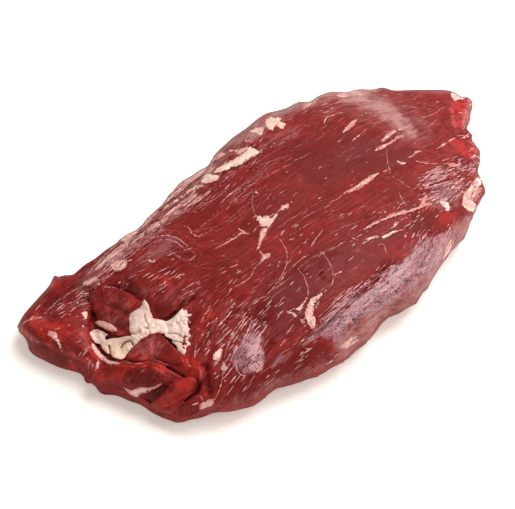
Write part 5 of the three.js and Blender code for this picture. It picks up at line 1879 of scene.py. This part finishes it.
def thread_piece(name, threads, material, marks, step=0.7, sides_round=8, sunk=0.15):
    """Threads as flattened, ragged cords that lie on the flesh. The marks are shares for the whole
    piece; one that is None follows each thread's width and beads."""
    places, faces, rose, grain = [], [], [], []
    for number, (width, *path) in enumerate(threads):
        curve = over_flesh(eased_path(path, step))
        count = len(curve)
        if count < 5:
            continue
        share = np.linspace(0, 1, count)
        run = share * count * step

        def waves(length, seed):
            return lumps(run / length, 0 * run + number, seed)

        across = np.gradient(curve, axis=0)[:, ::-1] * (1, -1)
        sway = 0.5 * waves(3.0, 43) + 0.3 * waves(1.2, 46)
        curve = curve + across * sway[:, None]
        depths, normals, rays = cast_on(FLESH_TESTER, curve)
        depths = evened(depths)
        spine = VIEW.eye + rays * depths[:, None]
        gaps = waves(4.5, 44) + 0.6 * waves(1.6, 45)
        normals = np.column_stack([evened(normals[:, axis]) for axis in range(3)])
        normals /= np.linalg.norm(normals, axis=1, keepdims=True)
        tangents = np.gradient(spine, axis=0)
        sides = np.cross(normals, tangents)
        sides /= np.linalg.norm(sides, axis=1, keepdims=True)
        taper = 0.2 + 0.8 * np.sqrt(np.clip(1 - (2 * share - 1) ** 2, 0, 1))
        beads = 0.85 + 0.40 * waves(2.4, 41) + 0.20 * waves(1.1, 42)
        half = (THREAD_WIDTH * width + THREAD_EXTRA) * 0.5 * taper * beads * depths / VIEW.focal
        thick = np.minimum(half * 0.45, THREAD_THICKNESS)
        spine = spine - normals * (thick * (sunk + 0.8 * smooth(gaps, 0.45, 1.0)))[:, None]
        start = len(places)
        for k in range(count):
            for turn in np.arange(sides_round) * 2 * math.pi / sides_round:
                places.append(spine[k] + sides[k] * half[k] * math.cos(turn)
                              + normals[k] * thick[k] * math.sin(turn))
        stops = np.concatenate([np.repeat(run, sides_round), [run[0], run[-1]]]) * PIXEL_LENGTH
        grain += [(stop, number * STRAND_TONE_STEP) for stop in stops]
        tips = [len(places), len(places) + 1]
        places.append(spine[0] - tangents[0] * 0.5)
        places.append(spine[-1] + tangents[-1] * 0.5)
        tone_there = np.clip(1.20 - 0.13 * width + 0.40 * gaps - 0.35 * (beads - 0.85), 0.3, 1.0)
        rose += list(np.repeat(tone_there, sides_round)) + [tone_there[0], tone_there[-1]]
        for k in range(count - 1):
            for m in range(sides_round):
                onward = (m + 1) % sides_round
                low, high = start + k * sides_round, start + (k + 1) * sides_round
                faces.append((low + m, high + m, high + onward, low + onward))
        for m in range(sides_round):
            onward = (m + 1) % sides_round
            last = start + (count - 1) * sides_round
            faces.append((tips[0], start + m, start + onward))
            faces.append((tips[1], last + onward, last + m))
    piece = new_object(name, places, faces, material)
    face_outwards(piece.data)
    for mark, share in marks.items():
        add_layer(piece.data, mark, "FLOAT", rose if share is None else np.full(len(places), share))
    if material is MUSCLE:
        grain = np.array(grain)
        add_fibre_uv(piece.data, grain[:, 0], grain[:, 1])
    return piece


# What is strewn over the flesh: small flecks, partly fat between the fibres and partly painted glints,
# and strokes where the muscle is torn, pale ones that paint highlights on wet ridges and dark ones that
# paint shade beside them. Half the length, width and thickness of each are in metres
FLECK_SIZES = {"Density": 100000.0, "Shortest": 0.0006, "Longest": 0.0030, "Thinnest": 0.00010,
               "Thickest": 0.00032, "Turn": 0.14, "Cluster Size": 70.0, "Least Cluster": 0.44,
               "Full Cluster": 0.66}
STROKE_SIZES = {"Density": 330000.0, "Shortest": 0.0008, "Longest": 0.0040, "Thinnest": 0.00014,
                "Thickest": 0.00048, "Turn": 0.12, "Cluster Size": 90.0, "Least Cluster": 0.30,
                "Full Cluster": 0.50}
FLECK_SEED = 7
STROKE_SEED = 8
FLECK_FLATNESS = 0.6
# Marks on each fleck or stroke: the lowest and the highest share. One number is drawn for them all
FLECK_MARKS = {"rose": (-0.1, 0.95)}
# Pale strokes paint highlights on wet ridges, dark ones paint shade beside them
STROKE_MARKS = {"painted_glint": (-0.6, 1.2), "dark": (0.8, -1.2)}


class Garden:
    """A Geometry Nodes tree with named inputs, built node by node."""

    def __init__(self, name, sizes):
        self.tree = bpy.data.node_groups.new(name, "GeometryNodeTree")
        sockets = self.tree.interface
        sockets.new_socket("Geometry", in_out="INPUT", socket_type="NodeSocketGeometry")
        for size in sizes:
            sockets.new_socket(size, in_out="INPUT", socket_type="NodeSocketFloat")
        sockets.new_socket("Seed", in_out="INPUT", socket_type="NodeSocketInt")
        sockets.new_socket("Geometry", in_out="OUTPUT", socket_type="NodeSocketGeometry")
        self.inputs = self.tree.nodes.new("NodeGroupInput").outputs

    def node(self, kind, settings=None, inputs=None):
        made = self.tree.nodes.new(kind)
        for name, value in (settings or {}).items():
            setattr(made, name, value)
        for name, value in (inputs or {}).items():
            if isinstance(value, bpy.types.NodeSocket):
                self.tree.links.new(value, made.inputs[name])
            else:
                made.inputs[name].default_value = value
        return made.outputs

    def times(self, first, second):
        return self.node("ShaderNodeMath", {"operation": "MULTIPLY"}, {0: first, 1: second})[0]

    def drawn(self, low, high, seed):
        return self.node("FunctionNodeRandomValue", None, {2: low, 3: high, "Seed": seed})[1]

    def mark(self, kind, name):
        return self.node("GeometryNodeInputNamedAttribute", {"data_type": kind}, {"Name": name})[0]

    def finish(self, geometry):
        self.node("NodeGroupOutput", None, {0: geometry})
        return self.tree


def strewn_tree(name, sizes, share_name, marks, material):
    """Flat spindles strewn over the flesh, along its grain, in clusters."""
    g = Garden(name, sizes)
    share = g.mark("FLOAT", share_name)
    grain = g.mark("FLOAT_VECTOR", "grain")
    clusters = g.node("ShaderNodeTexNoise", None, {"Scale": g.inputs["Cluster Size"], "Detail": 1.0})[0]
    clusters = g.node("ShaderNodeMapRange", {"interpolation_type": "SMOOTHSTEP"},
                      {"Value": clusters, "From Min": g.inputs["Least Cluster"],
                       "From Max": g.inputs["Full Cluster"]})[0]
    density = g.times(g.times(share, g.inputs["Density"]), clusters)
    spots = g.node("GeometryNodeDistributePointsOnFaces", None,
                   {"Mesh": g.inputs["Geometry"], "Density": density, "Seed": g.inputs["Seed"]})
    level = g.node("FunctionNodeAlignRotationToVector", {"axis": "X", "pivot_axis": "Z"},
                   {"Rotation": spots["Rotation"], "Vector": grain})[0]
    turn = g.drawn(g.times(g.inputs["Turn"], -1.0), g.inputs["Turn"], 11)
    turn = g.node("FunctionNodeAxisAngleToRotation", None, {"Angle": turn})[0]
    level = g.node("FunctionNodeRotateRotation", {"rotation_space": "LOCAL"},
                   {"Rotation": level, "Rotate By": turn})[0]
    length = g.drawn(g.inputs["Shortest"], g.inputs["Longest"], 12)
    width = g.drawn(g.inputs["Thinnest"], g.inputs["Thickest"], 13)
    thick = g.times(width, FLECK_FLATNESS)
    size = g.node("ShaderNodeCombineXYZ", None, {0: length, 1: width, 2: thick})[0]
    spindle = g.node("GeometryNodeMeshIcoSphere", None, {"Radius": 1.0, "Subdivisions": 1})[0]
    strewn = g.node("GeometryNodeInstanceOnPoints", None,
                    {"Points": spots["Points"], "Instance": spindle, "Rotation": level, "Scale": size})[0]
    for mark, (lowest, highest) in marks.items():
        strewn = g.node("GeometryNodeStoreNamedAttribute", {"domain": "INSTANCE"},
                        {"Geometry": strewn, "Name": mark, "Value": g.drawn(lowest, highest, 14)})[0]
    strewn = g.node("GeometryNodeRealizeInstances", None, {"Geometry": strewn})[0]
    strewn = g.node("GeometryNodeSetMaterial", None, {"Geometry": strewn, "Material": material})[0]
    return g.finish(strewn)


def strewn_piece(name, sizes, seed, share_name, marks, material):
    draft = linked(name + " draft", FLESH.data.copy())
    strewn = draft.modifiers.new("strewn", "NODES")
    strewn.node_group = strewn_tree(name, sizes, share_name, marks, material)
    values = {**sizes, "Seed": seed}
    for socket in strewn.node_group.interface.items_tree:
        if socket.in_out == "INPUT" and socket.name in values:
            strewn[socket.identifier] = values[socket.name]
    mesh = finished_mesh(draft, name)
    shade_smooth(mesh)
    if material is MUSCLE:
        spots = mesh_values(mesh.vertices, "co") / MM
        add_fibre_uv(mesh, spots[:, 0], spots[:, 1])
    return linked(name, mesh)


LUMPS = muscle_bodies("muscle_lumps", MUSCLE_LUMPS, swell_edge=3.5, seed=50)
POCKET = fat_bodies("pocket_fat", POCKET_FAT, swell_edge=3.0, seed=60, slits=POCKET_SLITS)
STRIP = fat_bodies("front_strip", FRONT_STRIP, swell_edge=1.6, seed=70)
EDGE = patch_piece("edge_fat", FLUSH_FAT)
SHADE_GAPS = one_list(SHADE_STRANDS)
FAT_ONES = with_families(one_list(FAT_THREADS), CREAM_FAMILIES, CREAM_SEED, SHADE_GAPS, WIDE_GAP)
PALE_ONES = with_families(one_list(PALE_STRANDS), PALE_FAMILIES, 0, SHADE_GAPS, WIDE_GAP)
PINK_ONES = with_families([], PINK_FAMILIES, PINK_SEED, SHADE_GAPS, NARROW_GAP)
BARE = dict.fromkeys(TINTS + ("cut",), 0.0)
THREADS = thread_piece("fat_threads", FAT_ONES, FAT, {"rose": None, "yellow": 0.0, "crevice": 0.0})
PALE = thread_piece("pale_strands", PALE_ONES, MUSCLE, {**BARE, "wet": 0.6, "painted_glint": 0.9},
                    step=1.0, sides_round=6, sunk=0.30)
PINK = thread_piece("pink_strands", PINK_ONES, MUSCLE, {**BARE, "membrane_and_sheen": 0.58, "fresh": 0.6},
                    step=1.0, sides_round=6, sunk=0.40)
# Dark cords of painted shade in the gaps between strands
SHADE_CORDS = thread_piece("painted_shade_gaps", SHADE_GAPS, MUSCLE, {**BARE, "dark": 1.0},
                    step=1.0, sides_round=6, sunk=0.30)
FLECKS = strewn_piece("fat_and_glint_flecks", FLECK_SIZES, FLECK_SEED, "fleck_share", FLECK_MARKS, FAT)
STROKES = strewn_piece("torn_glint_and_shade_strokes", STROKE_SIZES, STROKE_SEED, "stroke_share", STROKE_MARKS, MUSCLE)


# Stage and light
def add_floor():
    floor = new_object("floor", [(-4, -4, 0), (4, -4, 0), (4, 4, 0), (-4, 4, 0)], [(0, 1, 2, 3)],
                       floor_finish("plain floor"), False)


def add_panel(name, place, aim, size, power):
    data = bpy.data.lights.new(name, "AREA")
    data.shape = "RECTANGLE"
    data.size, data.size_y = size
    data.energy = power
    turn = (Vector(aim) - Vector(place)).to_track_quat("-Z", "Y").to_matrix()
    linked(name, data).matrix_world = Matrix.Translation(Vector(place)) @ turn.to_4x4()


def add_sky():
    world = bpy.data.worlds.new("studio")
    world.use_nodes = True
    sky = world.node_tree.nodes["Background"].inputs
    sky["Color"].default_value = tone(1.0, 0.95, 0.91)
    sky["Strength"].default_value = 0.30
    bpy.context.scene.world = world


add_floor()
add_panel("top panel", (1.20, 0.17, 1.90), (0.0, 0.0, 0.0), (1.7, 1.7), 60.0)
add_panel("side panel", (0.62, -0.68, 0.62), (0.05, -0.03, 0.02), (0.50, 0.35), 3.6)
add_panel("front panel", (-0.85, -0.42, 0.30), (-0.14, -0.03, 0.01), (0.60, 0.40), 1.3)
add_sky()
bpy.context.scene.view_settings.view_transform = "Standard"

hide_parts(NODE)
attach(FLESH, BODY)
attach(LUMPS, BODY)
for muscle_piece in (PALE, PINK, SHADE_CORDS, STROKES):
    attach(muscle_piece, BODY)
for fat_piece in (POCKET, STRIP, EDGE, THREADS, FLECKS):
    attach(fat_piece, BODY)
